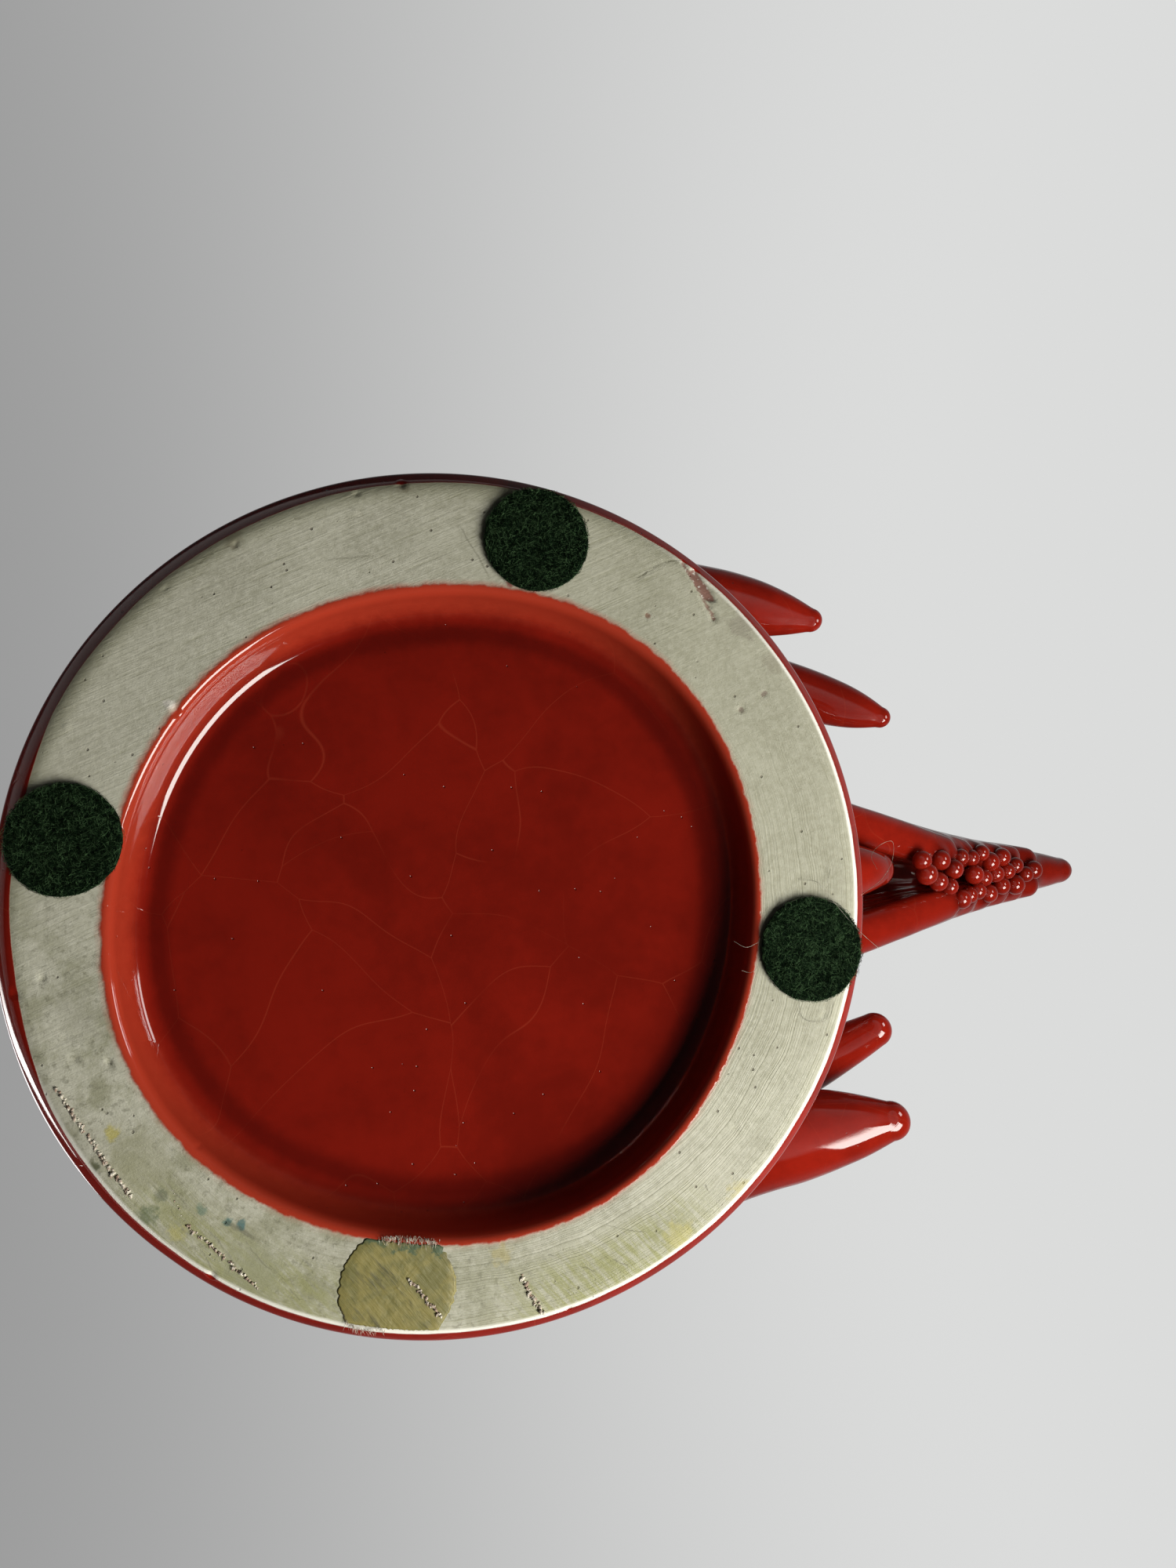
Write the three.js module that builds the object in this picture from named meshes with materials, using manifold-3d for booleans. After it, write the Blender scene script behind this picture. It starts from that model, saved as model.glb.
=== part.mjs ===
// A hand-built earthenware hen: a thrown hollow body on a turned foot, with rolled clay
// feathers, a neck and a head luted on, red glaze, and felt pads under the foot.
// Millimetres and degrees. The hen looks along +X, its left side is +Y and +Z is up.
import * as THREE from 'three';
import { mergeVertices } from 'three/addons/utils/BufferGeometryUtils.js';
import Module from 'manifold-3d';

const wasm = await Module();
wasm.setup();

// Joints between clay pieces
const slipGap = 0.3; // layer of slip between two luted pieces

// Felt pads and the glue left by a lost one
const padRadius = 9.7;
const padThickness = 1.5;
const padAngles = { front: 10.5, left: 104.7, rear: 191.1 };
const glueRadius = 10.2;
const glueThickness = 0.4;
const glueAngle = 280.1;
const glueEdgeMargin = 0.6; // bare clay left between the glue and the edges of the ring

// Foot ring and the dish inside it
const footRadius = 75;
const footInnerRadius = 57.5;
const footEdgeBevel = 1.2;
const footHeight = 10.5;
const dishDepth = 9;
const dishFloorRadius = 49.5;
const slabThickness = 6;
const coveFullness = 0.75; // how square the dish's wall meets its floor

// Body
const waistRadius = 78.2; // where the body stands on the foot
const bodyRadius = 98;
const bodyWidestHeight = 90;
const bodyHeight = 158;
const bodyWall = 6;
const crownFullness = 0.85; // 1 is an ellipse, less is a fuller shoulder
const breastStretch = 0.03; // how far the breast and the rump are drawn out of the round
const rumpStretch = 0.1;
const stretchStart = 40; // height where the drawing out begins, and where it is full
const stretchFull = 112;
const ventRadius = 4;
const ventHeight = 101;

// Neck and head
const neckRootX = 20;
const neckBendX = 50;
const neckTopX = 66;
const neckTopHeight = 210;
const neckRootRadius = 68;
const neckTopRadius = 21;
const neckTaper = 0.8;
const neckWall = 6;
const headLength = 58;
const headWidth = 43;
const headHeight = 47;
const headLead = 7; // head centre ahead of the top of the neck
const headRise = 12; // head centre above the top of the neck
const beakLength = 22;
const beakRootRadius = 10;
const beakTipRadius = 2.4;
const beakWidthShare = 0.85;
const beakDroop = 7;
const beakBendAt = 0.45; // share of the length where the beak starts to turn down
const beakBendDroop = 0.25; // share of the droop that it has there
const beakSeat = 9; // how deep the beak is set into the head
const lowerBeakLength = 13;
const lowerBeakRootRadius = 7;
const lowerBeakDrop = 9;
const combThickness = 10;
const combLobes = [13, 19, 22, 20, 15]; // heights, front to back
const combBase = 6; // solid part of the comb under the lobes
const combBevel = 2.6;
const combLobeFullness = 1.3; // 1 is a slender lobe, more is a blunter one
const wattleLength = 30;
const wattleWidth = 17;
const wattleThickness = 10;
const wattleSpread = 8.5;
const wattleLead = 19.3; // ahead of the middle of the head
const wattleSeat = 4; // how far it goes up into the head
const eyeRadius = 4.4;
const eyeAzimuth = 71.6; // round the head from the beak's direction
const eyeElevation = 12.4;
const eyeSeat = 1.5; // how deep the middle of the eye lies in the head

// Hackle: the cape of feathers that falls from the neck over the breast
const hackleCount = 7;
const hackleFan = 81; // spread of the tips, across the breast
const hackleRootFan = 46; // spread of the roots, across the neck
const hackleRootDrop = 26; // roots below the top of the neck
const hackleTipHeight = 87;
const hackleRootHalf = 6.5;
const hackleHalf = 11.5;
const hackleTipHalf = 4.6;
const hackleThicknessShare = 0.55;
const hackleLift = 2.6; // middle line above the clay under it
const hackleTipLift = 9; // at the middle of the breast, and at the sides
const hackleSideTipLift = 1.5;

// Wings: a shoulder slab and four rolled feathers on each side
const wingHalfHeight = 29;
const wingRootHalf = 15;
const wingTipHalf = 9;
const wingThicknessShare = 0.34;
const wingFrontAngle = 44; // round the body from the beak's direction
const wingMiddleAngle = 84;
const wingRearAngle = 124;
const wingFrontHeight = 122;
const wingMiddleHeight = 116;
const wingRearHeight = 104;
const wingLift = 1;
const wingLean = 20; // how far the slab's face looks up
const wingFeatherRootHalf = 8;
const wingFeatherTipHalf = 3.1;
const wingFeatherHeightShare = 0.86;
const wingFeatherRootAngle = 100;
const wingFeatherSideAngle = 120;
const wingFeatherSeat = 2.5; // how far its middle line lies under the body's surface at the side
const wingRootGather = 0.6; // how close together the feathers start under the slab
const wingFeathers = {
  left: [
    { half: 9.6, height: 83.5, bendAngle: 139.3, bendLift: 5.2, tipAngle: 146.5, tipLift: 20.6 },
    { half: 9.4, height: 95.5, bendAngle: 152.9, bendLift: 8, tipAngle: 161.2, tipLift: 27 },
    { half: 9.2, height: 109, bendAngle: 144, bendLift: 2, tipAngle: 157, tipLift: 10 },
    { half: 9.2, height: 123, bendAngle: 140, bendLift: 1, tipAngle: 153, tipLift: 6 },
  ],
  right: [
    { half: 10.4, height: 81.5, bendAngle: 142.6, bendLift: 10.3, tipAngle: 151.7, tipLift: 33.6 },
    { half: 10.6, height: 95.5, bendAngle: 152.8, bendLift: 3.7, tipAngle: 160.4, tipLift: 23.7 },
    { half: 9.2, height: 109, bendAngle: 144, bendLift: 2, tipAngle: 157, tipLift: 10 },
    { half: 9.2, height: 123, bendAngle: 140, bendLift: 1, tipAngle: 153, tipLift: 6 },
  ],
};

// Tail: plumes one above another in the middle, smaller feathers down both sides
const plumeRootHalf = 11;
const plumeHalf = 14.5;
const plumeTipHalf = 5.4;
const plumeThicknessShare = 0.55;
const plumeRootSeat = 40; // how far the plumes' roots lie inside the body
const plumeRootHeights = [127, 136, 142, 146]; // from the lowest plume up
const plumeTipReaches = [212, 205, 189, 165];
const plumeTipHeights = [151, 178, 202, 220];
const plumeArches = [4, 0, -5, -9]; // how far the middle of each is bent up
const tailSway = -3.6; // the tail's tips lie a little to the hen's right, and its roots less
const tailRootSway = -1.5;
const tailCount = 6;
const tailRootHalf = 4.6;
const tailHalf = 5.4;
const tailHeightShare = 0.68;
const tailRootSeat = 18;
const tailLowest = {
  rootHeight: 90,
  rootSpread: 22.5,
  tipReach: 152,
  tipHeight: 115.5,
  tipSpread: 6.4,
  tipHalf: 4.4,
};
const tailHighest = {
  rootHeight: 126,
  rootSpread: 15,
  tipReach: 194,
  tipHeight: 141.5,
  tipSpread: 3.9,
  tipHalf: 3.6,
};
const rumpHalf = 8.5;
const rumpTipHalf = 5;
const rumpHeight = 91;
const rumpRise = 8;
const rumpLift = 18;

// How finely the round forms are cut into faces
const bodySegments = 32;
const waistSteps = 6;
const crownSteps = 7;
const footSegments = 44;
const coveSteps = 4;
const padSegments = 28;
const ventSegments = 12;
const headSegments = 20;
const headRings = 14;
const knobSegments = 14; // eyes and wattles
const knobRings = 10;
const combCurveSteps = 5;
const combBevelSteps = 2;
const wingSides = 14;
const neckSides = 18;
const featherSides = 8;
const featherSteps = 6;
const tipSteps = 3;

// Derived places
const ringHeight = padThickness; // the foot's underside above the table
const footTop = ringHeight + footHeight;
const dishHeight = ringHeight + dishDepth;
const padCircleRadius = (footRadius + footInnerRadius) / 2;
const headCentre = new THREE.Vector3(neckTopX + headLead, 0, neckTopHeight + headRise);
const up = new THREE.Vector3(0, 0, 1);

const glazeRed = { color: 0xb3261a, roughness: 0.12, metalness: 0 };
const bareClay = { color: 0xcdc8b4, roughness: 0.85, metalness: 0 };
const greenFelt = { color: 0x173a1e, roughness: 0.95, metalness: 0 };
const oldGlue = { color: 0xa99c4a, roughness: 0.6, metalness: 0 };

const radians = THREE.MathUtils.degToRad;
const mix = THREE.MathUtils.lerp;
const hen = new THREE.Group();
const tools = new Map(); // each finished piece with its slip layer, to cut its neighbours

// Closed geometry as a solid with its faces outward
function solidOf(geometry) {
  const bare = geometry.clone();
  bare.deleteAttribute('normal');
  bare.deleteAttribute('uv');
  const merged = mergeVertices(bare, 1e-3);
  const corners = merged.index.array;
  const position = merged.getAttribute('position');
  const points = [0, 1, 2].map(() => new THREE.Vector3());
  const triVerts = [];
  let volume = 0;
  for (let i = 0; i < corners.length; i += 3) {
    const [a, b, c] = [corners[i], corners[i + 1], corners[i + 2]];
    if (a === b || b === c || c === a) continue;
    triVerts.push(a, b, c);
    points.forEach((point, k) => point.fromBufferAttribute(position, corners[i + k]));
    volume += points[0].dot(points[1].clone().cross(points[2]));
  }
  if (volume < 0) triVerts.reverse();
  return new wasm.Manifold(new wasm.Mesh({
    numProp: 3,
    vertProperties: new Float32Array(position.array),
    triVerts: new Uint32Array(triVerts),
  }));
}

function geometryOf(solid) {
  const mesh = solid.getMesh();
  const geometry = new THREE.BufferGeometry();
  geometry.setAttribute('position', new THREE.BufferAttribute(mesh.vertProperties, 3));
  geometry.setIndex(new THREE.BufferAttribute(mesh.triVerts, 1));
  return geometry;
}

// Adds one piece: make(grow) gives its form, grown by a layer; neighbours already in place cut it
function addPiece(name, finish, make, neighbours = [], carve = (solid) => solid) {
  let solid = carve(solidOf(make(0)));
  for (const neighbour of neighbours) solid = solid.subtract(tools.get(neighbour));
  const bodies = solid.decompose().sort((a, b) => b.volume() - a.volume());
  tools.set(name, solidOf(make(slipGap)));
  const mesh = new THREE.Mesh(geometryOf(bodies[0]), new THREE.MeshStandardMaterial(finish));
  mesh.name = name;
  hen.add(mesh);
}

function lathe(profile, segments) {
  return new THREE.LatheGeometry(profile, segments).rotateX(Math.PI / 2);
}

// Body

function roundRadiusAt(height) {
  if (height <= bodyWidestHeight) {
    const rise = (height - footTop) / (bodyWidestHeight - footTop);
    return waistRadius + (bodyRadius - waistRadius) * Math.sin(rise * Math.PI / 2);
  }
  const rise = Math.min(1, (height - bodyWidestHeight) / (bodyHeight - bodyWidestHeight));
  return bodyRadius * Math.sqrt(1 - rise * rise) ** crownFullness;
}

// The thrown round is drawn out at the breast and the rump
function stretchAt(angle, height) {
  const front = (1 + Math.cos(angle)) / 2;
  const full = THREE.MathUtils.smoothstep(height, stretchStart, stretchFull);
  return 1 + full * (breastStretch * front ** 3 + rumpStretch * (1 - front) ** 3);
}

function bodyRadiusAt(angle, height) {
  return roundRadiusAt(height) * stretchAt(angle, height);
}

function bodyForm(grow) {
  const profile = [new THREE.Vector2(0, footTop)];
  for (let i = 0; i <= waistSteps; i++) {
    const height = mix(footTop, bodyWidestHeight, i / waistSteps);
    profile.push(new THREE.Vector2(roundRadiusAt(height) + grow, height));
  }
  for (let i = 1; i < crownSteps; i++) {
    const turn = i / crownSteps * Math.PI / 2;
    const height = bodyWidestHeight + (bodyHeight + grow - bodyWidestHeight) * Math.sin(turn);
    profile.push(new THREE.Vector2((bodyRadius + grow) * Math.cos(turn) ** crownFullness, height));
  }
  profile.push(new THREE.Vector2(0, bodyHeight + grow));
  const form = lathe(profile, bodySegments);
  const position = form.getAttribute('position');
  for (let i = 0; i < position.count; i++) {
    const stretch = stretchAt(Math.atan2(position.getY(i), position.getX(i)), position.getZ(i));
    position.setXYZ(i, position.getX(i) * stretch, position.getY(i) * stretch, position.getZ(i));
  }
  return form;
}

// Point at an angle round the body and a height, lifted off its surface
function onBody(angle, height, lift) {
  const turn = radians(angle);
  const reach = bodyRadiusAt(turn, height) + lift;
  return new THREE.Vector3(reach * Math.cos(turn), reach * Math.sin(turn), height);
}

function addBody() {
  const vent = new THREE.CylinderGeometry(ventRadius, ventRadius, bodyRadius, ventSegments)
    .rotateZ(Math.PI / 2)
    .translate(-bodyRadius, 0, ventHeight);
  addPiece('body_shell', glazeRed, bodyForm, [],
    (solid) => solid.subtract(solidOf(bodyForm(-bodyWall))).subtract(solidOf(vent)));
}

// Foot, dish and pads

function addFoot() {
  const flare = new THREE.QuadraticBezierCurve(
    new THREE.Vector2(footRadius, ringHeight + footEdgeBevel),
    new THREE.Vector2(waistRadius - footEdgeBevel, ringHeight + footHeight / 2),
    new THREE.Vector2(waistRadius, footTop),
  );
  const cove = new THREE.QuadraticBezierCurve(
    new THREE.Vector2(dishFloorRadius, dishHeight),
    new THREE.Vector2(mix(dishFloorRadius, footInnerRadius, coveFullness), dishHeight),
    new THREE.Vector2(footInnerRadius, ringHeight),
  );
  const start = new THREE.Vector2(dishFloorRadius, footTop);
  const profile = [
    start,
    ...cove.getPoints(coveSteps),
    new THREE.Vector2(footRadius - footEdgeBevel, ringHeight),
    ...flare.getPoints(coveSteps),
    start,
  ];
  addPiece('foot_ring', bareClay, () => lathe(profile, footSegments));

  const slabRadius = waistRadius - bodyWall - slipGap;
  const plugRadius = dishFloorRadius - slipGap;
  const slab = [
    new THREE.Vector2(0, dishHeight),
    new THREE.Vector2(plugRadius, dishHeight),
    new THREE.Vector2(plugRadius, footTop),
    new THREE.Vector2(slabRadius, footTop),
    new THREE.Vector2(slabRadius, footTop + slabThickness),
    new THREE.Vector2(0, footTop + slabThickness),
  ];
  addPiece('base_dish', glazeRed, () => lathe(slab, footSegments));
}

function disc(radius, thickness, angle, top) {
  return new THREE.CylinderGeometry(radius, radius, thickness, padSegments)
    .rotateX(Math.PI / 2)
    .translate(
      padCircleRadius * Math.cos(radians(angle)),
      padCircleRadius * Math.sin(radians(angle)),
      top - thickness / 2,
    );
}

function addPads() {
  for (const [side, angle] of Object.entries(padAngles)) {
    addPiece(`felt_pad_${side}`, greenFelt, () => disc(padRadius, padThickness, angle, ringHeight));
  }
  const inside = footInnerRadius + glueEdgeMargin;
  const outside = footRadius - footEdgeBevel - glueEdgeMargin;
  const band = [[inside, 0], [outside, 0], [outside, footTop], [inside, footTop], [inside, 0]];
  const ringFace = lathe(band.map(([x, y]) => new THREE.Vector2(x, y)), footSegments);
  addPiece('glue_mark', oldGlue, () => disc(glueRadius, glueThickness, glueAngle, ringHeight), [],
    (solid) => solid.intersect(solidOf(ringFace)));
}

// Feathers

// Half width along a feather: it swells from the root to the belly and tapers to the tip
function halfWidth(size, share) {
  if (share < size.bellyAt) {
    return mix(size.root, size.belly, Math.sin(share / size.bellyAt * Math.PI / 2));
  }
  return mix(size.belly, size.tip, ((share - size.bellyAt) / (1 - size.bellyAt)) ** size.taper);
}

// A rolled taper with a round tip, bent along a path. Its flatter side looks along facing.
function feather(path, facing, size, grow) {
  const length = path.getLength();
  const capStart = length - size.tip;
  const profile = [new THREE.Vector2(0, -grow)];
  for (let i = 0; i <= featherSteps; i++) {
    const share = i / featherSteps;
    profile.push(new THREE.Vector2(halfWidth(size, share) + grow, i === 0 ? -grow : share * capStart));
  }
  for (let i = 1; i < tipSteps; i++) {
    const turn = i / tipSteps * Math.PI / 2;
    const cap = size.tip + grow;
    profile.push(new THREE.Vector2(cap * Math.cos(turn), capStart + cap * Math.sin(turn)));
  }
  profile.push(new THREE.Vector2(0, length + grow));

  const form = new THREE.LatheGeometry(profile, size.sides ?? featherSides);
  const position = form.getAttribute('position');
  const place = new THREE.Vector3();
  for (let i = 0; i < position.count; i++) {
    const along = position.getY(i);
    const share = THREE.MathUtils.clamp(along / length, 0, 1);
    const tangent = path.getTangentAt(share);
    const across = tangent.clone().cross(facing).normalize();
    const outward = across.clone().cross(tangent);
    const reach = Math.hypot(position.getX(i), position.getZ(i));
    const flat = reach > 0 ? mix(size.share, 1, grow / reach) : 1;
    place.copy(path.getPointAt(share))
      .addScaledVector(tangent, along - share * length)
      .addScaledVector(across, position.getX(i))
      .addScaledVector(outward, position.getZ(i) * flat);
    position.setXYZ(i, place.x, place.y, place.z);
  }
  return form;
}

const curveThrough = (...points) => new THREE.CatmullRomCurve3(points);

// Neck and head

const neckPath = new THREE.QuadraticBezierCurve3(
  new THREE.Vector3(neckRootX, 0, bodyWidestHeight),
  new THREE.Vector3(neckBendX, 0, bodyHeight),
  new THREE.Vector3(neckTopX, 0, neckTopHeight),
);
const neckSize = {
  root: neckRootRadius,
  belly: neckRootRadius,
  bellyAt: 0,
  tip: neckTopRadius,
  taper: neckTaper,
  share: 1,
  sides: neckSides,
};

// Distance from the foot's axis to the outside of the neck, at an angle and a height
function neckReach(angle, height) {
  let low = 0;
  let high = 1;
  for (let i = 0; i < 24; i++) {
    const middle = (low + high) / 2;
    if (neckPath.getPoint(middle).z < height) low = middle;
    else high = middle;
  }
  const centre = neckPath.getPoint(low).x;
  const radius = halfWidth(neckSize, low);
  const side = centre * Math.sin(angle);
  return Math.abs(side) < radius ? centre * Math.cos(angle) + Math.sqrt(radius ** 2 - side ** 2) : 0;
}

function headForm(grow) {
  return new THREE.SphereGeometry(1, headSegments, headRings)
    .rotateX(Math.PI / 2)
    .scale(headLength / 2 + grow, headWidth / 2 + grow, headHeight / 2 + grow)
    .translate(headCentre.x, 0, headCentre.z);
}

function addNeckAndHead() {
  addPiece('head', glazeRed, headForm);
  const neckForm = (grow) => feather(neckPath, new THREE.Vector3(0, 1, 0), neckSize, grow);
  addPiece('neck', glazeRed, neckForm, ['body_shell', 'head'],
    (solid) => solid.subtract(solidOf(neckForm(-neckWall))));
}

function addBeak() {
  const front = headCentre.x + headLength / 2;
  const beakPath = (length, drop, droop) => curveThrough(
    new THREE.Vector3(front - beakSeat, 0, headCentre.z - drop),
    new THREE.Vector3(front + length * beakBendAt, 0, headCentre.z - drop - droop * beakBendDroop),
    new THREE.Vector3(front + length, 0, headCentre.z - drop - droop),
  );
  const side = new THREE.Vector3(0, 1, 0);
  const upperSize = {
    root: beakRootRadius,
    belly: beakRootRadius,
    bellyAt: 0,
    tip: beakTipRadius,
    taper: 1,
    share: beakWidthShare,
  };
  addPiece('upper_beak', glazeRed,
    (grow) => feather(beakPath(beakLength, 0, beakDroop), side, upperSize, grow), ['head']);
  const lowerSize = { ...upperSize, root: lowerBeakRootRadius, belly: lowerBeakRootRadius };
  addPiece('lower_beak', glazeRed,
    (grow) => feather(beakPath(lowerBeakLength, lowerBeakDrop, beakDroop / 3), side, lowerSize, grow),
    ['head', 'upper_beak']);
}

function addComb() {
  const lobeWidth = headLength / combLobes.length;
  const outline = new THREE.Shape();
  const baseline = (at) => {
    const out = Math.min(1, Math.abs(2 * at / (headLength + lobeWidth)));
    return (headHeight / 2) * Math.sqrt(1 - out ** 2);
  };
  let x = headLength / 2 - lobeWidth / 3;
  outline.moveTo(x, 0);
  outline.lineTo(x, baseline(x));
  for (const height of combLobes) {
    const next = x - lobeWidth;
    const valley = baseline(next) + combBase;
    const peak = height * combLobeFullness;
    outline.bezierCurveTo(x, baseline(x) + peak, next, valley + peak, next, valley);
    x = next;
  }
  outline.lineTo(x + lobeWidth, 0);
  outline.closePath();
  const form = (grow) => new THREE.ExtrudeGeometry(outline, {
    depth: combThickness - 2 * combBevel + 2 * grow,
    bevelThickness: combBevel,
    bevelSize: combBevel / 2,
    bevelSegments: combBevelSteps,
    curveSegments: combCurveSteps,
  })
    .translate(0, 0, combBevel - combThickness / 2 - grow)
    .rotateX(Math.PI / 2)
    .translate(headCentre.x, 0, headCentre.z);
  addPiece('comb', glazeRed, form, ['head', 'upper_beak', 'neck']);
}

const sides = { left: 1, right: -1 };

function addFace() {
  const azimuth = radians(eyeAzimuth);
  const elevation = radians(eyeElevation);
  const eyePlace = new THREE.Vector3(
    (headLength / 2 - eyeSeat) * Math.cos(elevation) * Math.cos(azimuth),
    (headWidth / 2 - eyeSeat) * Math.cos(elevation) * Math.sin(azimuth),
    (headHeight / 2 - eyeSeat) * Math.sin(elevation),
  );
  const ahead = Math.min(1, 2 * wattleLead / headLength);
  const headUnder = (headHeight / 2) * Math.sqrt(1 - ahead ** 2);
  const wattleCentreHeight = headCentre.z - headUnder + wattleSeat - wattleLength / 2;
  for (const [side, sign] of Object.entries(sides)) {
    const eye = new THREE.SphereGeometry(eyeRadius, knobSegments, knobRings)
      .translate(headCentre.x + eyePlace.x, sign * eyePlace.y, headCentre.z + eyePlace.z);
    addPiece(`eye_${side}`, glazeRed, () => eye, ['head']);
    const wattle = (grow) => new THREE.SphereGeometry(1, knobSegments, knobRings)
      .rotateX(Math.PI / 2)
      .scale(wattleWidth / 2 + grow, wattleThickness / 2 + grow, wattleLength / 2 + grow)
      .translate(headCentre.x + wattleLead, sign * wattleSpread, wattleCentreHeight);
    const before = side === 'left' ? [] : ['wattle_left'];
    addPiece(`wattle_${side}`, glazeRed, wattle, ['head', 'upper_beak', 'lower_beak', 'neck', ...before]);
  }
}

function addHackle() {
  const size = {
    root: hackleRootHalf,
    belly: hackleHalf,
    bellyAt: 0.5,
    tip: hackleTipHalf,
    taper: 1.8,
    share: hackleThicknessShare,
  };
  const placed = [];
  for (let i = 0; i < hackleCount; i++) {
    const spread = i / (hackleCount - 1) - 0.5;
    const along = (share, lift) => {
      const angle = radians(spread * mix(hackleRootFan, hackleFan, share));
      const height = mix(neckTopHeight - hackleRootDrop, hackleTipHeight, share);
      const reach = Math.max(bodyRadiusAt(angle, height), neckReach(angle, height)) + lift;
      return new THREE.Vector3(reach * Math.cos(angle), reach * Math.sin(angle), height);
    };
    const tipLift = mix(hackleTipLift, hackleSideTipLift, Math.abs(spread) * 2);
    const path = curveThrough(
      along(0, 0), along(0.3, hackleLift), along(0.65, hackleLift), along(1, tipLift),
    );
    const tipAngle = radians(spread * hackleFan);
    const facing = new THREE.Vector3(Math.cos(tipAngle), Math.sin(tipAngle), 0);
    const name = `hackle_feather_${i + 1}`;
    addPiece(name, glazeRed, (grow) => feather(path, facing, size, grow),
      ['body_shell', 'neck', 'wattle_left', 'wattle_right', ...placed]);
    placed.push(name);
  }
  return placed;
}

// Wings and tail

function addWings(hackles) {
  const slabSize = {
    root: wingRootHalf,
    belly: wingHalfHeight,
    bellyAt: 0.42,
    tip: wingTipHalf,
    taper: 1.7,
    share: wingThicknessShare,
    sides: wingSides,
  };
  for (const [side, sign] of Object.entries(sides)) {
    const slabPath = curveThrough(
      onBody(sign * wingFrontAngle, wingFrontHeight, 0),
      onBody(sign * wingMiddleAngle, wingMiddleHeight, wingLift),
      onBody(sign * wingRearAngle, wingRearHeight, wingLift),
    );
    const outward = onBody(sign * wingMiddleAngle, 0, 0).normalize();
    const facing = outward.setZ(Math.tan(radians(wingLean))).normalize();
    addPiece(`wing_${side}`, glazeRed, (grow) => feather(slabPath, facing, slabSize, grow),
      ['body_shell', ...hackles]);

    const placed = [`wing_${side}`];
    wingFeathers[side].forEach((spec, i) => {
      const size = {
        root: wingFeatherRootHalf,
        belly: spec.half,
        bellyAt: 0.35,
        tip: wingFeatherTipHalf,
        taper: 2.8,
        share: wingFeatherHeightShare,
      };
      const rootHeight = mix(wingMiddleHeight, spec.height, wingRootGather);
      const path = curveThrough(
        onBody(sign * wingFeatherRootAngle, rootHeight, -wingFeatherSeat),
        onBody(sign * wingFeatherSideAngle, mix(rootHeight, spec.height, 0.5), -wingFeatherSeat),
        onBody(sign * spec.bendAngle, mix(rootHeight, spec.height, 0.9), spec.bendLift),
        onBody(sign * spec.tipAngle, spec.height, spec.tipLift),
      );
      const name = `wing_feather_${side}_${i + 1}`;
      addPiece(name, glazeRed, (grow) => feather(path, up, size, grow), ['body_shell', ...placed]);
      placed.push(name);
    });
  }
}

function addTail() {
  const sideways = new THREE.Vector3(0, 1, 0);
  const plumeSize = {
    root: plumeRootHalf,
    belly: plumeHalf,
    bellyAt: 0.6,
    tip: plumeTipHalf,
    taper: 2,
    share: plumeThicknessShare,
  };
  const placed = [];
  plumeTipReaches.forEach((tipReach, i) => {
    const root = onBody(180, plumeRootHeights[i], -plumeRootSeat);
    const tip = new THREE.Vector3(-tipReach, tailSway, plumeTipHeights[i]);
    const middle = root.clone().lerp(tip, 0.5);
    middle.z += plumeArches[i];
    const path = curveThrough(root, middle, tip);
    const name = i === 0 ? 'tail_feather_top' : `tail_plume_${i}`;
    addPiece(name, glazeRed, (grow) => feather(path, sideways, plumeSize, grow), ['body_shell', ...placed]);
    placed.push(name);
  });

  for (const [side, sign] of Object.entries(sides)) {
    const row = [];
    for (let i = tailCount - 1; i >= 0; i--) {
      const between = (key) => mix(tailLowest[key], tailHighest[key], i / (tailCount - 1));
      const rootHeight = between('rootHeight');
      const rootReach = bodyRadiusAt(Math.PI, rootHeight) - tailRootSeat;
      const tipSide = tailSway + sign * between('tipSpread');
      const path = new THREE.LineCurve3(
        new THREE.Vector3(-rootReach, tailRootSway + sign * between('rootSpread'), rootHeight),
        new THREE.Vector3(-between('tipReach'), tipSide, between('tipHeight')),
      );
      const size = {
        root: tailRootHalf,
        belly: tailHalf,
        bellyAt: 0.5,
        tip: between('tipHalf'),
        taper: 1.6,
        share: tailHeightShare,
      };
      const name = `tail_feather_${side}_${i + 1}`;
      const others = side === 'right' ? [`tail_feather_left_${i + 1}`] : [];
      addPiece(name, glazeRed, (grow) => feather(path, up, size, grow),
        ['body_shell', ...placed, ...row, ...others]);
      row.push(name);
    }
  }

  const rump = curveThrough(
    onBody(180, rumpHeight, -tailRootSeat),
    onBody(180, rumpHeight + rumpRise / 2, rumpLift / 2),
    onBody(180, rumpHeight + rumpRise, rumpLift),
  );
  const rumpSize = {
    root: rumpHalf,
    belly: rumpHalf,
    bellyAt: 0.5,
    tip: rumpTipHalf,
    taper: 1.6,
    share: 1,
  };
  const lowest = Object.keys(sides).flatMap((side) => [1, 2].map((i) => `tail_feather_${side}_${i}`));
  addPiece('rump_feather', glazeRed, (grow) => feather(rump, up, rumpSize, grow),
    ['body_shell', ...lowest]);
}

addFoot();
addPads();
addBody();
addNeckAndHead();
addBeak();
addComb();
addFace();
addWings(addHackle());
addTail();

// The origin is on the table, under the middle of the hen's length and width
const box = new THREE.Box3().setFromObject(hen);
const middle = box.getCenter(new THREE.Vector3());
hen.children.forEach((mesh) => mesh.position.set(-middle.x, -middle.y, -box.min.z));

export default hen;
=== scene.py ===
import math

import bmesh
import bpy
import numpy as np
from mathutils import Matrix, Vector, noise
from mathutils.bvhtree import BVHTree


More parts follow.
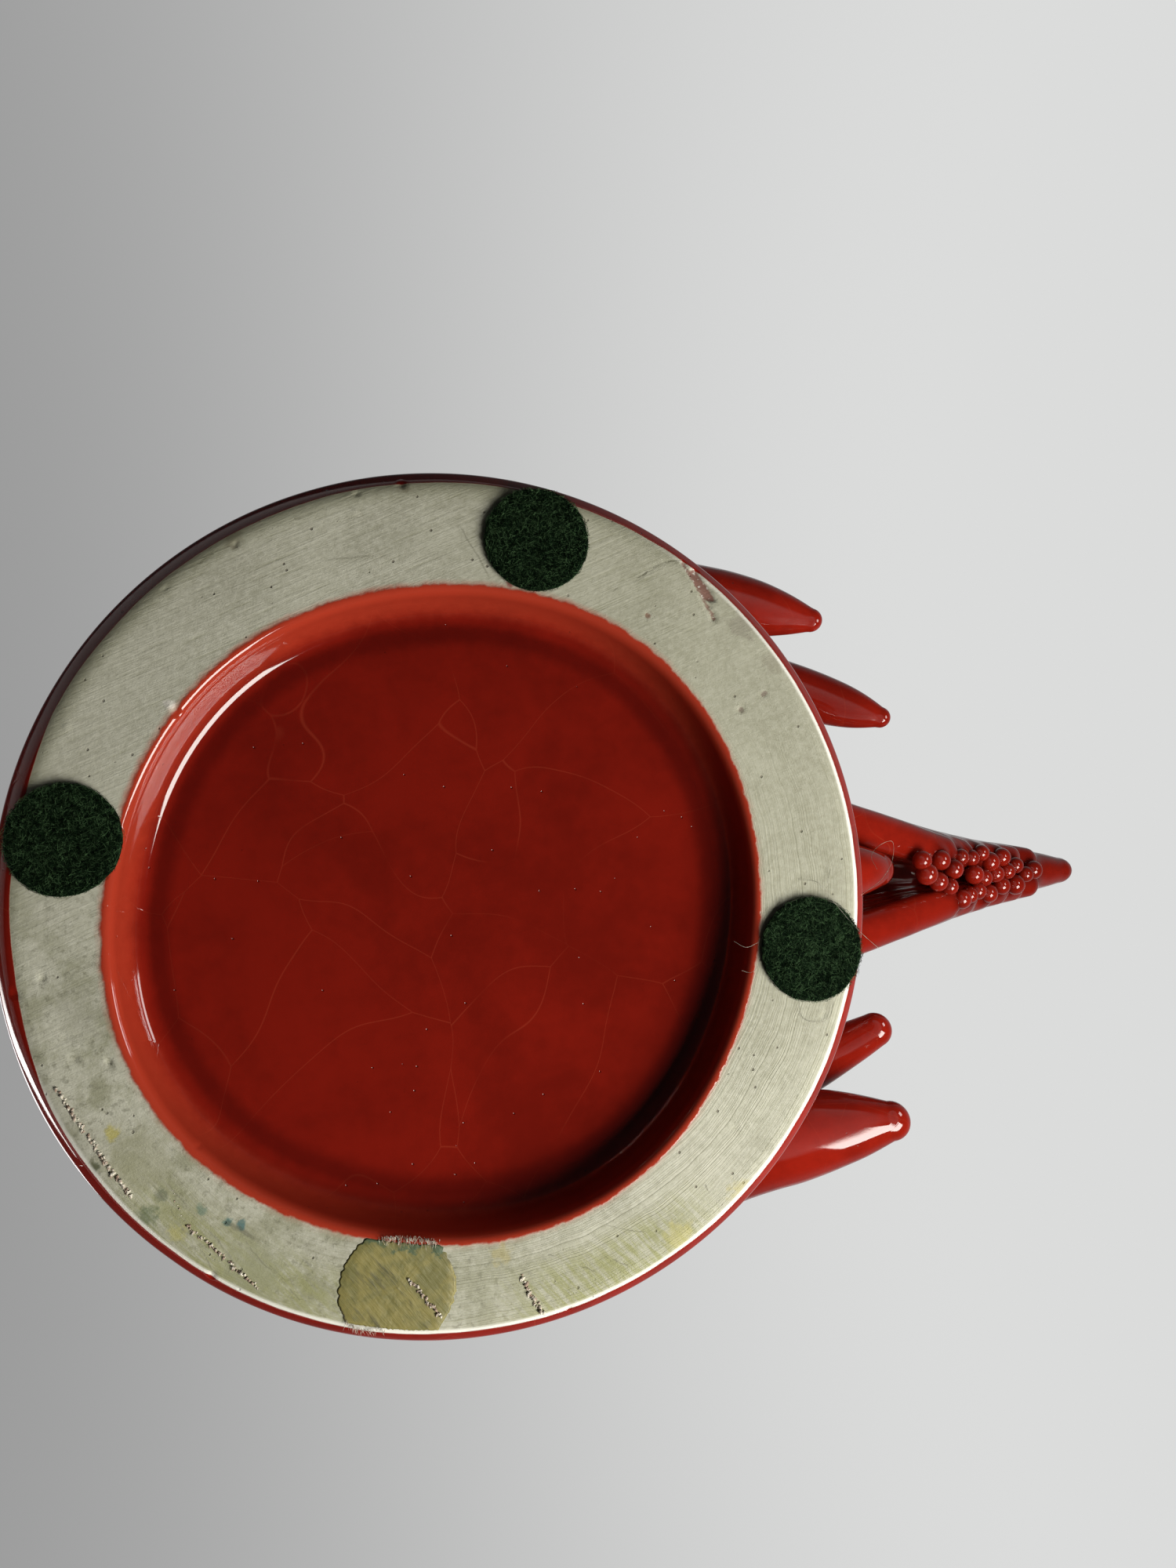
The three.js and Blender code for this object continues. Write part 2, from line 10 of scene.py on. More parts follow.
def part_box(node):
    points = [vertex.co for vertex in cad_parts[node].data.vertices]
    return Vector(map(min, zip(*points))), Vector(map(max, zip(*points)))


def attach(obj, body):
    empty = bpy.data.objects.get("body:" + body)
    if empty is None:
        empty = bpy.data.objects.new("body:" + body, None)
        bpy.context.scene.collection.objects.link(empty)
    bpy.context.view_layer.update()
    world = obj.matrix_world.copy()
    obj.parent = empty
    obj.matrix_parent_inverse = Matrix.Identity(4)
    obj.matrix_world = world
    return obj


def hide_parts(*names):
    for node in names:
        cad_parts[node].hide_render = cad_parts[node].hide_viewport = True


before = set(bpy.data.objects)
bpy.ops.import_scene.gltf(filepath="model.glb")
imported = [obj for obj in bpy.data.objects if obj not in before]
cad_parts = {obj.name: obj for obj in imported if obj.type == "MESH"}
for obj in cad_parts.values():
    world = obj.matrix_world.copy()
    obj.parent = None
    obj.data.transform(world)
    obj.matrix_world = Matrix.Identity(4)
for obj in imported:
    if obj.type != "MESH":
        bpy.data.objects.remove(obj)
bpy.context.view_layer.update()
print("frame loaded,", len(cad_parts), "nodes")

# The sizes below are millimetres and degrees from the middle of the foot, +X to the beak
mm = 0.001
footLow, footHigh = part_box("foot_ring")
footCentre = Vector(((footLow.x + footHigh.x) / 2, (footLow.y + footHigh.y) / 2, 0.0))
up = Vector((0.0, 0.0, 1.0))
pieces = {}  # piece name to its object, CAD node and material slot


def place(point):
    return footCentre + Vector(point) * mm


def mix(a, b, share):
    return a + (b - a) * share


def smooth(value, low, high):
    share = min(1.0, max(0.0, (value - low) / (high - low)))
    return share * share * (3 - 2 * share)


def polar(radius, angle, height):
    turn = math.radians(angle)
    return Vector((radius * math.cos(turn), radius * math.sin(turn), height))


# Node helpers, the same for shaders and geometry


def addNode(tree, kind, inputs=None, **settings):
    node = tree.nodes.new(kind)
    for key, value in settings.items():
        setattr(node, key, value)
    for key, value in (inputs or {}).items():
        if isinstance(value, bpy.types.NodeSocket):
            tree.links.new(value, node.inputs[key])
        else:
            node.inputs[key].default_value = value
    return node


def calc(tree, operation, *values, clamp=False):
    inputs = dict(enumerate(values))
    return addNode(tree, "ShaderNodeMath", inputs, operation=operation, use_clamp=clamp).outputs[0]


def times(tree, a, b):
    return calc(tree, "MULTIPLY", a, b)


def plus(tree, a, b):
    return calc(tree, "ADD", a, b)


def minus(tree, a, b):
    return calc(tree, "SUBTRACT", a, b)


def calcVector(tree, operation, *values, output="Vector"):
    inputs = dict(enumerate(values))
    return addNode(tree, "ShaderNodeVectorMath", inputs, operation=operation).outputs[output]


def scaled(tree, vector, factor):
    return addNode(tree, "ShaderNodeVectorMath", {"Vector": vector, "Scale": factor},
                   operation="SCALE").outputs["Vector"]


def ramp(tree, value, low, high, start=0.0, end=1.0):
    inputs = {"Value": value, "From Min": low, "From Max": high, "To Min": start, "To Max": end}
    return addNode(tree, "ShaderNodeMapRange", inputs, interpolation_type="SMOOTHSTEP").outputs[0]


def tint(tree, factor, a, b):
    return addNode(tree, "ShaderNodeMix", {0: factor, 6: a, 7: b}, data_type="RGBA").outputs[2]


def grain(tree, vector, scale, detail=2.0, rough=0.5, distortion=0.0, output="Fac"):
    inputs = {"Vector": vector, "Scale": scale, "Detail": detail, "Roughness": rough,
              "Distortion": distortion}
    return addNode(tree, "ShaderNodeTexNoise", inputs).outputs[output]


# A spot stretched along one direction, for brushed and dragged marks
def stretched(tree, spot, angle, scale):
    inputs = {"Vector": spot, "Rotation": (0, 0, math.radians(angle)), "Scale": scale}
    return addNode(tree, "ShaderNodeMapping", inputs, vector_type="TEXTURE").outputs["Vector"]


# How squarely a direction from the middle looks along a bearing
def towards(tree, aim, bearing):
    return calcVector(tree, "DOT_PRODUCT", aim, tuple(polar(1.0, bearing, 0.0)), output="Value")


def attribute(tree, name):
    return addNode(tree, "ShaderNodeAttribute", attribute_name=name).outputs["Fac"]


def separate(tree, vector):
    return addNode(tree, "ShaderNodeSeparateXYZ", {"Vector": vector}).outputs


def combine(tree, x, y, z):
    return addNode(tree, "ShaderNodeCombineXYZ", {"X": x, "Y": y, "Z": z}).outputs[0]


# A random value between two ends; each kind has its own sockets
def randomValue(tree, kind, low, high, seed=0):
    first, output = {"FLOAT_VECTOR": (0, 0), "FLOAT": (2, 1), "INT": (4, 2)}[kind]
    inputs = {first: low, first + 1: high, "Seed": seed}
    return addNode(tree, "FunctionNodeRandomValue", inputs, data_type=kind).outputs[output]


def mixed(tree, factor, a, b):
    return addNode(tree, "ShaderNodeMix", {0: factor, 2: a, 3: b}).outputs[0]


def setPosition(tree, geometry, **inputs):
    return addNode(tree, "GeometryNodeSetPosition", {"Geometry": geometry, **inputs}).outputs[0]


def sweep(tree, curve, section, **inputs):
    settings = {"Curve": curve, "Profile Curve": section, "Fill Caps": True, **inputs}
    return addNode(tree, "GeometryNodeCurveToMesh", settings).outputs[0]


def newTree(name, sockets):
    tree = bpy.data.node_groups.new(name, "GeometryNodeTree")
    tree.interface.new_socket("Geometry", in_out="INPUT", socket_type="NodeSocketGeometry")
    for label, kind in sockets:
        tree.interface.new_socket(label, in_out="INPUT", socket_type="NodeSocket" + kind)
    tree.interface.new_socket("Geometry", in_out="OUTPUT", socket_type="NodeSocketGeometry")
    return tree, tree.nodes.new("NodeGroupInput").outputs


def endTree(tree, geometry, material):
    solid = addNode(tree, "GeometryNodeRealizeInstances", {"Geometry": geometry}).outputs[0]
    soft = addNode(tree, "GeometryNodeSetShadeSmooth", {"Geometry": solid}).outputs[0]
    finish = addNode(tree, "GeometryNodeSetMaterial", {"Geometry": soft, "Material": material})
    addNode(tree, "NodeGroupOutput", {"Geometry": finish.outputs[0]})


def newObject(name, data):
    made = bpy.data.objects.new(name, data)
    bpy.context.collection.objects.link(made)
    return made


def storeValues(piece, name, values):
    piece.data.attributes.new(name, "FLOAT", "POINT").data.foreach_set("value", values)


def outward(mesh):
    form = bmesh.new()
    form.from_mesh(mesh)
    if form.calc_volume(signed=True) < 0:
        bmesh.ops.reverse_faces(form, faces=form.faces)
        form.to_mesh(mesh)
    form.free()


# Runs a tree on a source object and leaves a plain mesh object in its place
def runTree(source, name, tree, values):
    changer = source.modifiers.new(tree.name, "NODES")
    changer.node_group = tree
    for socket in tree.interface.items_tree:
        if socket.in_out == "INPUT" and socket.name in values:
            changer[socket.identifier] = values[socket.name]
    return plainMesh(source, name)


def plainMesh(source, name):
    depsgraph = bpy.context.evaluated_depsgraph_get()
    mesh = bpy.data.meshes.new_from_object(source.evaluated_get(depsgraph), depsgraph=depsgraph)
    bpy.data.objects.remove(source)
    outward(mesh)
    mesh.name = name
    return newObject(name, mesh)


def meshPiece(name, points, faces, material=None):
    mesh = bpy.data.meshes.new(name)
    mesh.from_pydata([place(point) for point in points], [], faces)
    mesh.polygons.foreach_set("use_smooth", [True] * len(mesh.polygons))
    outward(mesh)
    if material:
        mesh.materials.append(material)
    return newObject(name, mesh)


# A seam's corner stays crisp, so the shading runs flat up to it
def crisp(piece):
    piece.data.set_sharp_from_angle(angle=math.radians(55.0))
    return piece


def curveSource(name, path):
    curve = bpy.data.curves.new(name, "CURVE")
    curve.dimensions = "3D"
    spline = curve.splines.new("POLY")
    spline.points.add(len(path) - 1)
    for point, spot in zip(spline.points, path):
        point.co = (*place(spot), 1.0)
    return newObject(name + "Path", curve)


# Smooth path through a few points, evenly eased between them
def pathThrough(points, steps=20):
    points = [Vector(point) for point in points]
    line = [points[0] * 2 - points[1]] + points + [points[-1] * 2 - points[-2]]
    path = []
    for i in range(1, len(line) - 2):
        p0, p1, p2, p3 = line[i - 1:i + 3]
        d0, d1, d2 = (math.sqrt((b - a).length) for a, b in ((p0, p1), (p1, p2), (p2, p3)))
        t1 = ((p1 - p0) / d0 - (p2 - p0) / (d0 + d1) + (p2 - p1) / d1) * d1
        t2 = ((p2 - p1) / d1 - (p3 - p1) / (d1 + d2) + (p3 - p2) / d2) * d1
        square = p2 * 3 - p1 * 3 - t1 * 2 - t2
        cube = p1 * 2 - p2 * 2 + t1 + t2
        for k in range(steps):
            t = k / steps
            path.append(p1 + t1 * t + square * t * t + cube * t ** 3)
    return path + [points[-1]]


def keep(piece, slot, *nodes):
    pieces[piece.name] = (piece, slot, nodes)
    return piece


# Rings of points joined into a closed skin; rings of one point are poles
def skin(rings, closed=False):
    points, faces, starts = [], [], []
    for ring in rings:
        starts.append(len(points))
        points.extend(ring)
    for i in range(len(rings) if closed else len(rings) - 1):
        j = (i + 1) % len(rings)
        a, b, count = starts[i], starts[j], max(len(rings[i]), len(rings[j]))
        for k in range(count):
            n = (k + 1) % count
            if len(rings[i]) == 1:
                faces.append((a, b + n, b + k))
            elif len(rings[j]) == 1:
                faces.append((a + k, a + n, b))
            else:
                faces.append((a + k, a + n, b + n, b + k))
    return points, faces


# Points evenly round a circle
def ringPoints(radius, height, count):
    return [polar(radius, 360.0 * k / count, height) for k in range(count)]


# Materials

glaze = {
    "deep": (0.155, 0.0066, 0.0027, 1), "bright": (0.225, 0.0095, 0.0038, 1),
    # The pooled colour also serves as painted shade on one side of the outer band
    "pooledAndShaded": (0.045, 0.0016, 0.001, 1), "paleWall": (0.38, 0.042, 0.019, 1),
    "pinhole": (0.04, 0.003, 0.002, 1), "crackle": (0.30, 0.040, 0.018, 1),
    "crackleCell": 25.0, "crackleWidth": 0.0055, "crackleStrength": 0.30, "crackleBend": 48.0,
    "gloss": 0.05, "peel": 0.004, "poolStrength": 0.75, "dishPool": 0.40,
}


def objectSpot(tree):
    where = addNode(tree, "ShaderNodeTexCoord").outputs["Object"]
    moved = addNode(tree, "ShaderNodeMapping", {"Vector": where, "Location": -footCentre})
    return scaled(tree, moved.outputs["Vector"], 1 / mm)


# Colour, roughness and height of the red glaze at a spot
def glazeLook(tree, spot):
    cloud = grain(tree, spot, 0.045, 4.0, 0.55, 0.4)
    mottle = grain(tree, spot, 0.35, 3.0, 0.6)
    blend = plus(tree, times(tree, cloud, 0.75), times(tree, mottle, 0.25))
    colour = tint(tree, ramp(tree, blend, 0.33, 0.67), glaze["deep"], glaze["bright"])
    pool = times(tree, attribute(tree, "pool"), glaze["poolStrength"])
    colour = tint(tree, pool, colour, glaze["pooledAndShaded"])

    swirl = grain(tree, spot, 0.022, 1.0, output="Color")
    bent = calcVector(tree, "ADD", spot, scaled(tree, swirl, glaze["crackleBend"]))
    cells = addNode(tree, "ShaderNodeTexVoronoi", {"Vector": bent, "Scale": 1 / glaze["crackleCell"]},
                    feature="DISTANCE_TO_EDGE").outputs["Distance"]
    line = ramp(tree, cells, 0.0, glaze["crackleWidth"], 1.0, 0.0)
    broken = ramp(tree, grain(tree, spot, 0.05, 2.0), 0.34, 0.54)
    line = times(tree, times(tree, line, broken), glaze["crackleStrength"])
    colour = tint(tree, line, colour, glaze["crackle"])

    dots = addNode(tree, "ShaderNodeTexVoronoi", {"Vector": spot, "Scale": 0.24}).outputs["Distance"]
    dot = ramp(tree, dots, 0.03, 0.06, 1.0, 0.0)
    colour = tint(tree, times(tree, dot, 0.7), colour, glaze["pinhole"])

    rough = plus(tree, times(tree, mottle, 0.06), glaze["gloss"] - 0.02)
    wave = grain(tree, spot, 0.05, 1.0)
    height = plus(tree, times(tree, wave, 0.12), times(tree, mottle, glaze["peel"]))
    height = minus(tree, height, times(tree, dot, 0.05))
    height = minus(tree, height, times(tree, line, 0.025))
    return colour, rough, height


def newMaterial(name):
    material = bpy.data.materials.new(name)
    material.use_nodes = True
    tree = material.node_tree
    return material, tree, tree.nodes["Principled BSDF"]


def joinLook(tree, shader, colour, rough, height, strength=1.0):
    tree.links.new(colour, shader.inputs["Base Color"])
    tree.links.new(rough, shader.inputs["Roughness"])
    bump = addNode(tree, "ShaderNodeBump", {"Height": height, "Distance": mm, "Strength": strength})
    tree.links.new(bump.outputs["Normal"], shader.inputs["Normal"])


def redGlazeMaterial():
    material, tree, shader = newMaterial("redGlaze")
    joinLook(tree, shader, *glazeLook(tree, objectSpot(tree)))
    return material


clay = {
    # The grime colour also serves as painted shade and the worn colour as painted light
    "body": (0.318, 0.308, 0.232, 1), "pale": (0.400, 0.390, 0.302, 1), "wornAndLit": (0.555, 0.542, 0.448, 1),
    "grimeAndShade": (0.215, 0.212, 0.125, 1), "speck": (0.10, 0.08, 0.055, 1), "halo": (0.36, 0.13, 0.085, 1),
    # The edge colour is a painted highlight along the clay's outer edge
    "olive": (0.255, 0.255, 0.10, 1), "soot": (0.085, 0.080, 0.045, 1), "edge": (0.82, 0.80, 0.72, 1),
    "chipRed": (0.17, 0.055, 0.04, 1), "chipPale": (0.62, 0.58, 0.52, 1), "roughness": 0.78,
    # Bearings: the rear right side, where grime gathers, where painted shade darkens the outer band
    "behind": 235.0, "grimy": 312.0, "pooledAndShaded": 65.0,
    # Painted shade and painted light by bearing: where, how narrow, colour, strength
    "paintedSideLight": ((155.0, 0.2, "grimeAndShade", 0.28), (0.0, 0.3, "wornAndLit", 0.16)),
    # Olive smears: where, how narrow, strength
    "smears": ((249.0, 0.94, 0.85), (302.0, 0.90, 0.75)),
    # Slant and stretch of the wiped and the dragged marks
    "wiped": (-24.0, (12.0, 0.42, 1.0)), "dragged": (48.0, (6.5, 0.8, 1.0)),
    # Glaze edges: inner and outer circle, lap at the front, how proud the glaze stands
    "glazeRadius": 58.42, "outerRadius": 74.9, "frontLap": 1.2, "proud": 0.10,
    # How the glaze line strays from its circle: turns per round, millimetres, where it is furthest out
    "glazeStray": ((1, 2.35, -57.0), (2, 0.57, -114.0), (3, 0.5, 8.0), (4, 0.58, -145.0), (5, 0.2, -149.0)),
}
# Dark scratches in the clay: two ends as radius and angle, half width, strength
scratches = [
    (63.7, 71.1, 62.5, 77.6, 0.20, 0.35), (72.9, 68.9, 72.5, 72.2, 0.26, 0.4),
    (73.7, 54.2, 73.7, 56.6, 0.28, 0.5), (67.1, 316.9, 74.1, 297.4, 0.16, 0.3),
    (69.0, 318.2, 73.6, 305.0, 0.16, 0.3), (66.0, 309.0, 72.4, 292.6, 0.15, 0.3),
    (60.1, 229.4, 70.2, 231.5, 0.13, 0.45), (74.8, 125.9, 72.3, 123.8, 0.2, 0.8),
    (72.3, 123.8, 66.3, 121.4, 0.18, 0.7), (66.3, 121.4, 62.6, 119.3, 0.15, 0.5),
    (66.6, 92.8, 58.0, 97.6, 0.2, 0.35), (66.2, 302.6, 66.4, 306.8, 0.5, 0.5),
    (66.5, 252.4, 72.0, 247.0, 0.16, 0.45), (65.2, 257.0, 71.0, 251.2, 0.15, 0.4),
    (63.8, 247.2, 68.4, 242.6, 0.14, 0.4),
]
# Stains on the bare clay: radius and angle on the foot, size, colour, strength
stains = [
    (68.6, 327.6, 1.4, (0.40, 0.34, 0.05, 1), 0.7), (74.0, 325.2, 1.1, (0.05, 0.07, 0.05, 1), 0.8),
    (73.4, 315.8, 2.4, (0.10, 0.13, 0.06, 1), 0.7), (72.1, 311.7, 1.8, (0.42, 0.38, 0.12, 1), 0.5),
    (66.2, 306.7, 0.9, (0.05, 0.14, 0.13, 1), 0.85), (65.4, 304.8, 0.9, (0.05, 0.13, 0.13, 1), 0.85),
    (66.8, 310.9, 0.9, (0.12, 0.18, 0.13, 1), 0.7), (72.8, 238.5, 3.0, (0.40, 0.36, 0.13, 1), 0.6),
    (73.8, 228.2, 2.2, (0.38, 0.33, 0.12, 1), 0.55), (62.7, 264.3, 2.0, (0.36, 0.30, 0.11, 1), 0.5),
    (69.3, 316.4, 1.3, (0.08, 0.10, 0.06, 1), 0.6), (64.5, 345.0, 5.0, (0.32, 0.31, 0.24, 1), 0.45),
    (70.5, 300.0, 6.5, (0.27, 0.27, 0.17, 1), 0.55), (68.0, 322.0, 7.0, (0.30, 0.29, 0.19, 1), 0.5),
    (73.5, 139.0, 3.0, (0.22, 0.20, 0.15, 1), 0.6), (73.0, 146.0, 2.4, (0.24, 0.22, 0.16, 1), 0.5),
    (74.0, 60.0, 2.0, (0.13, 0.10, 0.07, 1), 0.7), (74.2, 84.4, 1.6, (0.13, 0.10, 0.07, 1), 0.7),
    (62.9, 149.2, 0.8, (0.16, 0.12, 0.09, 1), 0.8), (68.4, 149.2, 0.7, (0.16, 0.12, 0.09, 1), 0.8),
    (62.1, 126.5, 0.6, (0.20, 0.10, 0.06, 1), 0.8), (57.3, 101.8, 0.9, (0.17, 0.04, 0.03, 1), 0.9),
    (57.5, 106.4, 0.8, (0.17, 0.04, 0.03, 1), 0.9), (59.2, 36.2, 1.0, (0.72, 0.68, 0.60, 1), 0.9),
    (74.2, 325.4, 1.3, (0.10, 0.10, 0.045, 1), 0.8),
]


def footMaterial():
    material, tree, shader = newMaterial("bareClay")
    spot = objectSpot(tree)
    flat = calcVector(tree, "MULTIPLY", spot, (1.0, 1.0, 0.0))
    radius = calcVector(tree, "LENGTH", flat, output="Value")
    aim = calcVector(tree, "NORMALIZE", flat)

    # Clay: cream body, paler patches, turning marks, scratches, specks
    cloud = grain(tree, spot, 0.06, 4.0, 0.6)
    fine = grain(tree, spot, 0.9, 5.0, 0.65)
    colour = tint(tree, ramp(tree, cloud, 0.35, 0.65), clay["body"], clay["pale"])
    colour = tint(tree, ramp(tree, fine, 0.30, 0.75, 0.0, 0.55), colour, clay["wornAndLit"])
    wander = times(tree, grain(tree, flat, 0.08, 2.0), 2.2)
    turned = plus(tree, radius, wander)
    marks = {"W": turned, "Scale": 2.8, "Detail": 3.0, "Roughness": 0.75}
    marks = addNode(tree, "ShaderNodeTexNoise", marks, noise_dimensions="1D").outputs["Fac"]
    behind = towards(tree, aim, clay["behind"])
    turning = ramp(tree, behind, -0.3, 0.8, 0.06, 1.0)
    marks = times(tree, minus(tree, marks, 0.5), turning)
    colour = tint(tree, ramp(tree, marks, 0.0, 0.2, 0.0, 0.42), colour, clay["grimeAndShade"])
    slant = stretched(tree, spot, *clay["wiped"])
    wiped = minus(tree, grain(tree, slant, 1.0, 4.0, 0.6), 0.5)
    wiped = plus(tree, times(tree, wiped, ramp(tree, behind, -0.6, 0.4, 1.0, 0.15)), 0.5)
    scratch = ramp(tree, wiped, 0.56, 0.72)
    colour = tint(tree, times(tree, scratch, 0.45), colour, clay["wornAndLit"])
    colour = tint(tree, ramp(tree, wiped, 0.28, 0.45, 0.5, 0.0), colour, clay["grimeAndShade"])
    dots = addNode(tree, "ShaderNodeTexVoronoi", {"Vector": spot, "Scale": 0.42})
    draw = addNode(tree, "ShaderNodeSeparateColor", {"Color": dots.outputs["Color"]}).outputs[0]
    chosen = ramp(tree, draw, 0.62, 0.68)
    pit = times(tree, ramp(tree, dots.outputs["Distance"], 0.07, 0.13, 1.0, 0.0), chosen)
    colour = tint(tree, times(tree, pit, 0.75), colour, clay["speck"])

    # Painted shade on the tail side and painted light on the breast side, set by bearing
    for bearing, least, shade, strength in clay["paintedSideLight"]:
        paintedSideLight = ramp(tree, towards(tree, aim, bearing), least, 0.97, 0.0, strength)
        colour = tint(tree, paintedSideLight, colour, clay[shade])

    # Grime gathered at the front right, olive smears on the outer half at two places, and the stains
    patchy = grain(tree, spot, 0.16, 5.0, 0.65)
    side = towards(tree, aim, clay["grimy"])
    dirt = times(tree, ramp(tree, side, 0.30, 0.95), ramp(tree, patchy, 0.42, 0.64))
    colour = tint(tree, times(tree, dirt, 0.7), colour, clay["grimeAndShade"])
    grit = ramp(tree, grain(tree, spot, 0.7, 4.0, 0.7), 0.52, 0.66)
    gritty = times(tree, ramp(tree, side, 0.2, 0.9), grit)
    colour = tint(tree, times(tree, gritty, 0.4), colour, clay["soot"])
    dragged = stretched(tree, spot, *clay["dragged"])
    dragged = grain(tree, dragged, 1.0, 4.0, 0.65)
    outside = ramp(tree, radius, 63.0, 70.0)
    for bearing, narrow, strength in clay["smears"]:
        near = ramp(tree, towards(tree, aim, bearing), narrow, 0.998)
        near = times(tree, near, outside)
        smear = times(tree, near, ramp(tree, dragged, 0.36, 0.60, 0.15, strength))
        colour = tint(tree, smear, colour, clay["olive"])
        dark = times(tree, near, ramp(tree, dragged, 0.62, 0.72, 0.0, 0.5))
        colour = tint(tree, dark, colour, clay["soot"])
    frayed = calcVector(tree, "SUBTRACT", grain(tree, spot, 0.55, 4.0, 0.6, output="Color"), (0.5, 0.5, 0.5))
    for reach, angle, size, shade, strength in stains:
        loose = calcVector(tree, "ADD", flat, scaled(tree, frayed, size * 2.4))
        far = calcVector(tree, "DISTANCE", loose, tuple(polar(reach, angle, 0.0)), output="Value")
        mask = ramp(tree, far, size * 0.45, size * 1.15, strength, 0.0)
        colour = tint(tree, mask, colour, shade)

    unsteady = calcVector(tree, "SUBTRACT", grain(tree, spot, 0.22, 2.0, output="Color"), (0.5, 0.5, 0.5))
    unsteady = calcVector(tree, "ADD", flat, scaled(tree, unsteady, 1.8))
    for reachA, angleA, reachB, angleB, half, strength in scratches:
        start, end = polar(reachA, angleA, 0.0), polar(reachB, angleB, 0.0)
        run = end - start
        away = calcVector(tree, "SUBTRACT", unsteady, tuple(start))
        share = calcVector(tree, "DOT_PRODUCT", away, tuple(run / run.dot(run)), output="Value")
        nearest = scaled(tree, tuple(run), calc(tree, "ADD", share, 0.0, clamp=True))
        off = calcVector(tree, "DISTANCE", away, nearest, output="Value")
        ragged = times(tree, minus(tree, fine, 0.5), half * 3.0)
        off = minus(tree, off, ragged)
        colour = tint(tree, ramp(tree, off, half * 0.4, half * 1.3, strength, 0.0), colour, clay["soot"])

    # The glaze laps a little over both edges of the ring in a wavy line
    parts = separate(tree, aim)
    around = calc(tree, "ARCTAN2", parts["Y"], parts["X"])
    edge = clay["glazeRadius"]
    for turns, stray, furthest in clay["glazeStray"]:
        swing = minus(tree, times(tree, around, float(turns)), math.radians(furthest))
        edge = plus(tree, edge, times(tree, calc(tree, "COSINE", swing), stray))
    wave = grain(tree, aim, 3.2, 3.0, 0.6)
    ripple = grain(tree, spot, 0.45, 3.0, 0.6)
    edge = plus(tree, edge, times(tree, minus(tree, ripple, 0.5), 1.1))
    past = minus(tree, radius, edge)
    inner = ramp(tree, past, -0.3, 0.3, 1.0, 0.0)
    brink = times(tree, minus(tree, wave, 0.5), 0.9)
    lap = ramp(tree, towards(tree, aim, 0.0), 0.88, 1.0, 0.0, clay["frontLap"])
    brink = plus(tree, brink, lap)
    outer = ramp(tree, plus(tree, radius, brink), clay["outerRadius"], clay["outerRadius"] + 0.25)
    glazed = calc(tree, "MAXIMUM", inner, outer)
    film = ramp(tree, past, 0.0, 1.2, 1.0, 0.0)
    film = times(tree, film, ramp(tree, patchy, 0.36, 0.60, 0.35, 0.85))
    film = times(tree, film, ramp(tree, behind, -0.75, 0.0, 1.0, 0.3))
    colour = tint(tree, film, colour, clay["halo"])
    # Painted shade: the clay darkens towards its outer edge on the side away from the lamps
    shaded = ramp(tree, radius, 70.5, 75.0, 0.0, 0.6)
    shaded = times(tree, shaded, ramp(tree, behind, -0.8, -0.1, 1.0, 0.0))
    colour = tint(tree, shaded, colour, clay["grimeAndShade"])
    # Painted highlight: a pale line along the clay's outer edge on the side towards the lamps
    rim = ramp(tree, radius, 74.0, 74.7, 0.0, 0.9)
    rim = times(tree, rim, ramp(tree, behind, -0.55, 0.1))
    colour = tint(tree, rim, colour, clay["edge"])
    broken = ramp(tree, grain(tree, spot, 1.1, 3.0), 0.58, 0.68)
    broken = tint(tree, broken, clay["chipRed"], clay["chipPale"])
    colour = tint(tree, ramp(tree, attribute(tree, "scar"), 0.25, 0.7, 0.0, 0.85), colour, broken)

    # The clay's surface: turning marks, fine tooth, wiped marks and pits
    tooth = grain(tree, spot, 3.2, 3.0, 0.6)
    height = times(tree, marks, 0.14)
    for relief, depth in ((fine, 0.08), (tooth, 0.05), (wiped, 0.09), (pit, -0.14)):
        height = plus(tree, height, times(tree, relief, depth))

    # The glaze on the ring: thick in the recess and its corner, paler up the wall towards its line, and
    # painted shade on the outer band at one side
    redColour, redRough, redHeight = glazeLook(tree, spot)
    corner = times(tree, ramp(tree, past, -10.5, -7.6), ramp(tree, past, -6.8, -4.6, 0.5, 0.0))
    thick = ramp(tree, past, -4.5, -1.5, glaze["poolStrength"] * glaze["dishPool"], 0.0)
    paleWall = ramp(tree, past, -4.8, -1.4, 0.0, 0.7)
    paleWall = times(tree, paleWall, ramp(tree, radius, 64.0, 70.0, 1.0, 0.0))
    # Painted shade: the outer band is darkened on the side that faces away from the lamps
    bandShade = ramp(tree, towards(tree, aim, clay["pooledAndShaded"]), 0.45, 0.92, 0.0, 0.85)
    bandShade = times(tree, ramp(tree, radius, 74.0, 75.5), bandShade)
    for mask, shade in ((thick, "pooledAndShaded"), (corner, "pooledAndShaded"), (paleWall, "paleWall"), (bandShade, "pooledAndShaded")):
        redColour = tint(tree, mask, redColour, glaze[shade])
    colour = tint(tree, glazed, colour, redColour)
    smoother = times(tree, glazed, minus(tree, redRough, clay["roughness"]))
    rough = plus(tree, smoother, clay["roughness"])
    redHeight = plus(tree, redHeight, clay["proud"])
    step = times(tree, glazed, minus(tree, redHeight, height))
    joinLook(tree, shader, colour, rough, plus(tree, height, step))
    return material


felt = {"dark": (0.0015, 0.006, 0.002, 1), "mid": (0.005, 0.020, 0.006, 1), "light": (0.105, 0.200, 0.085, 1)}


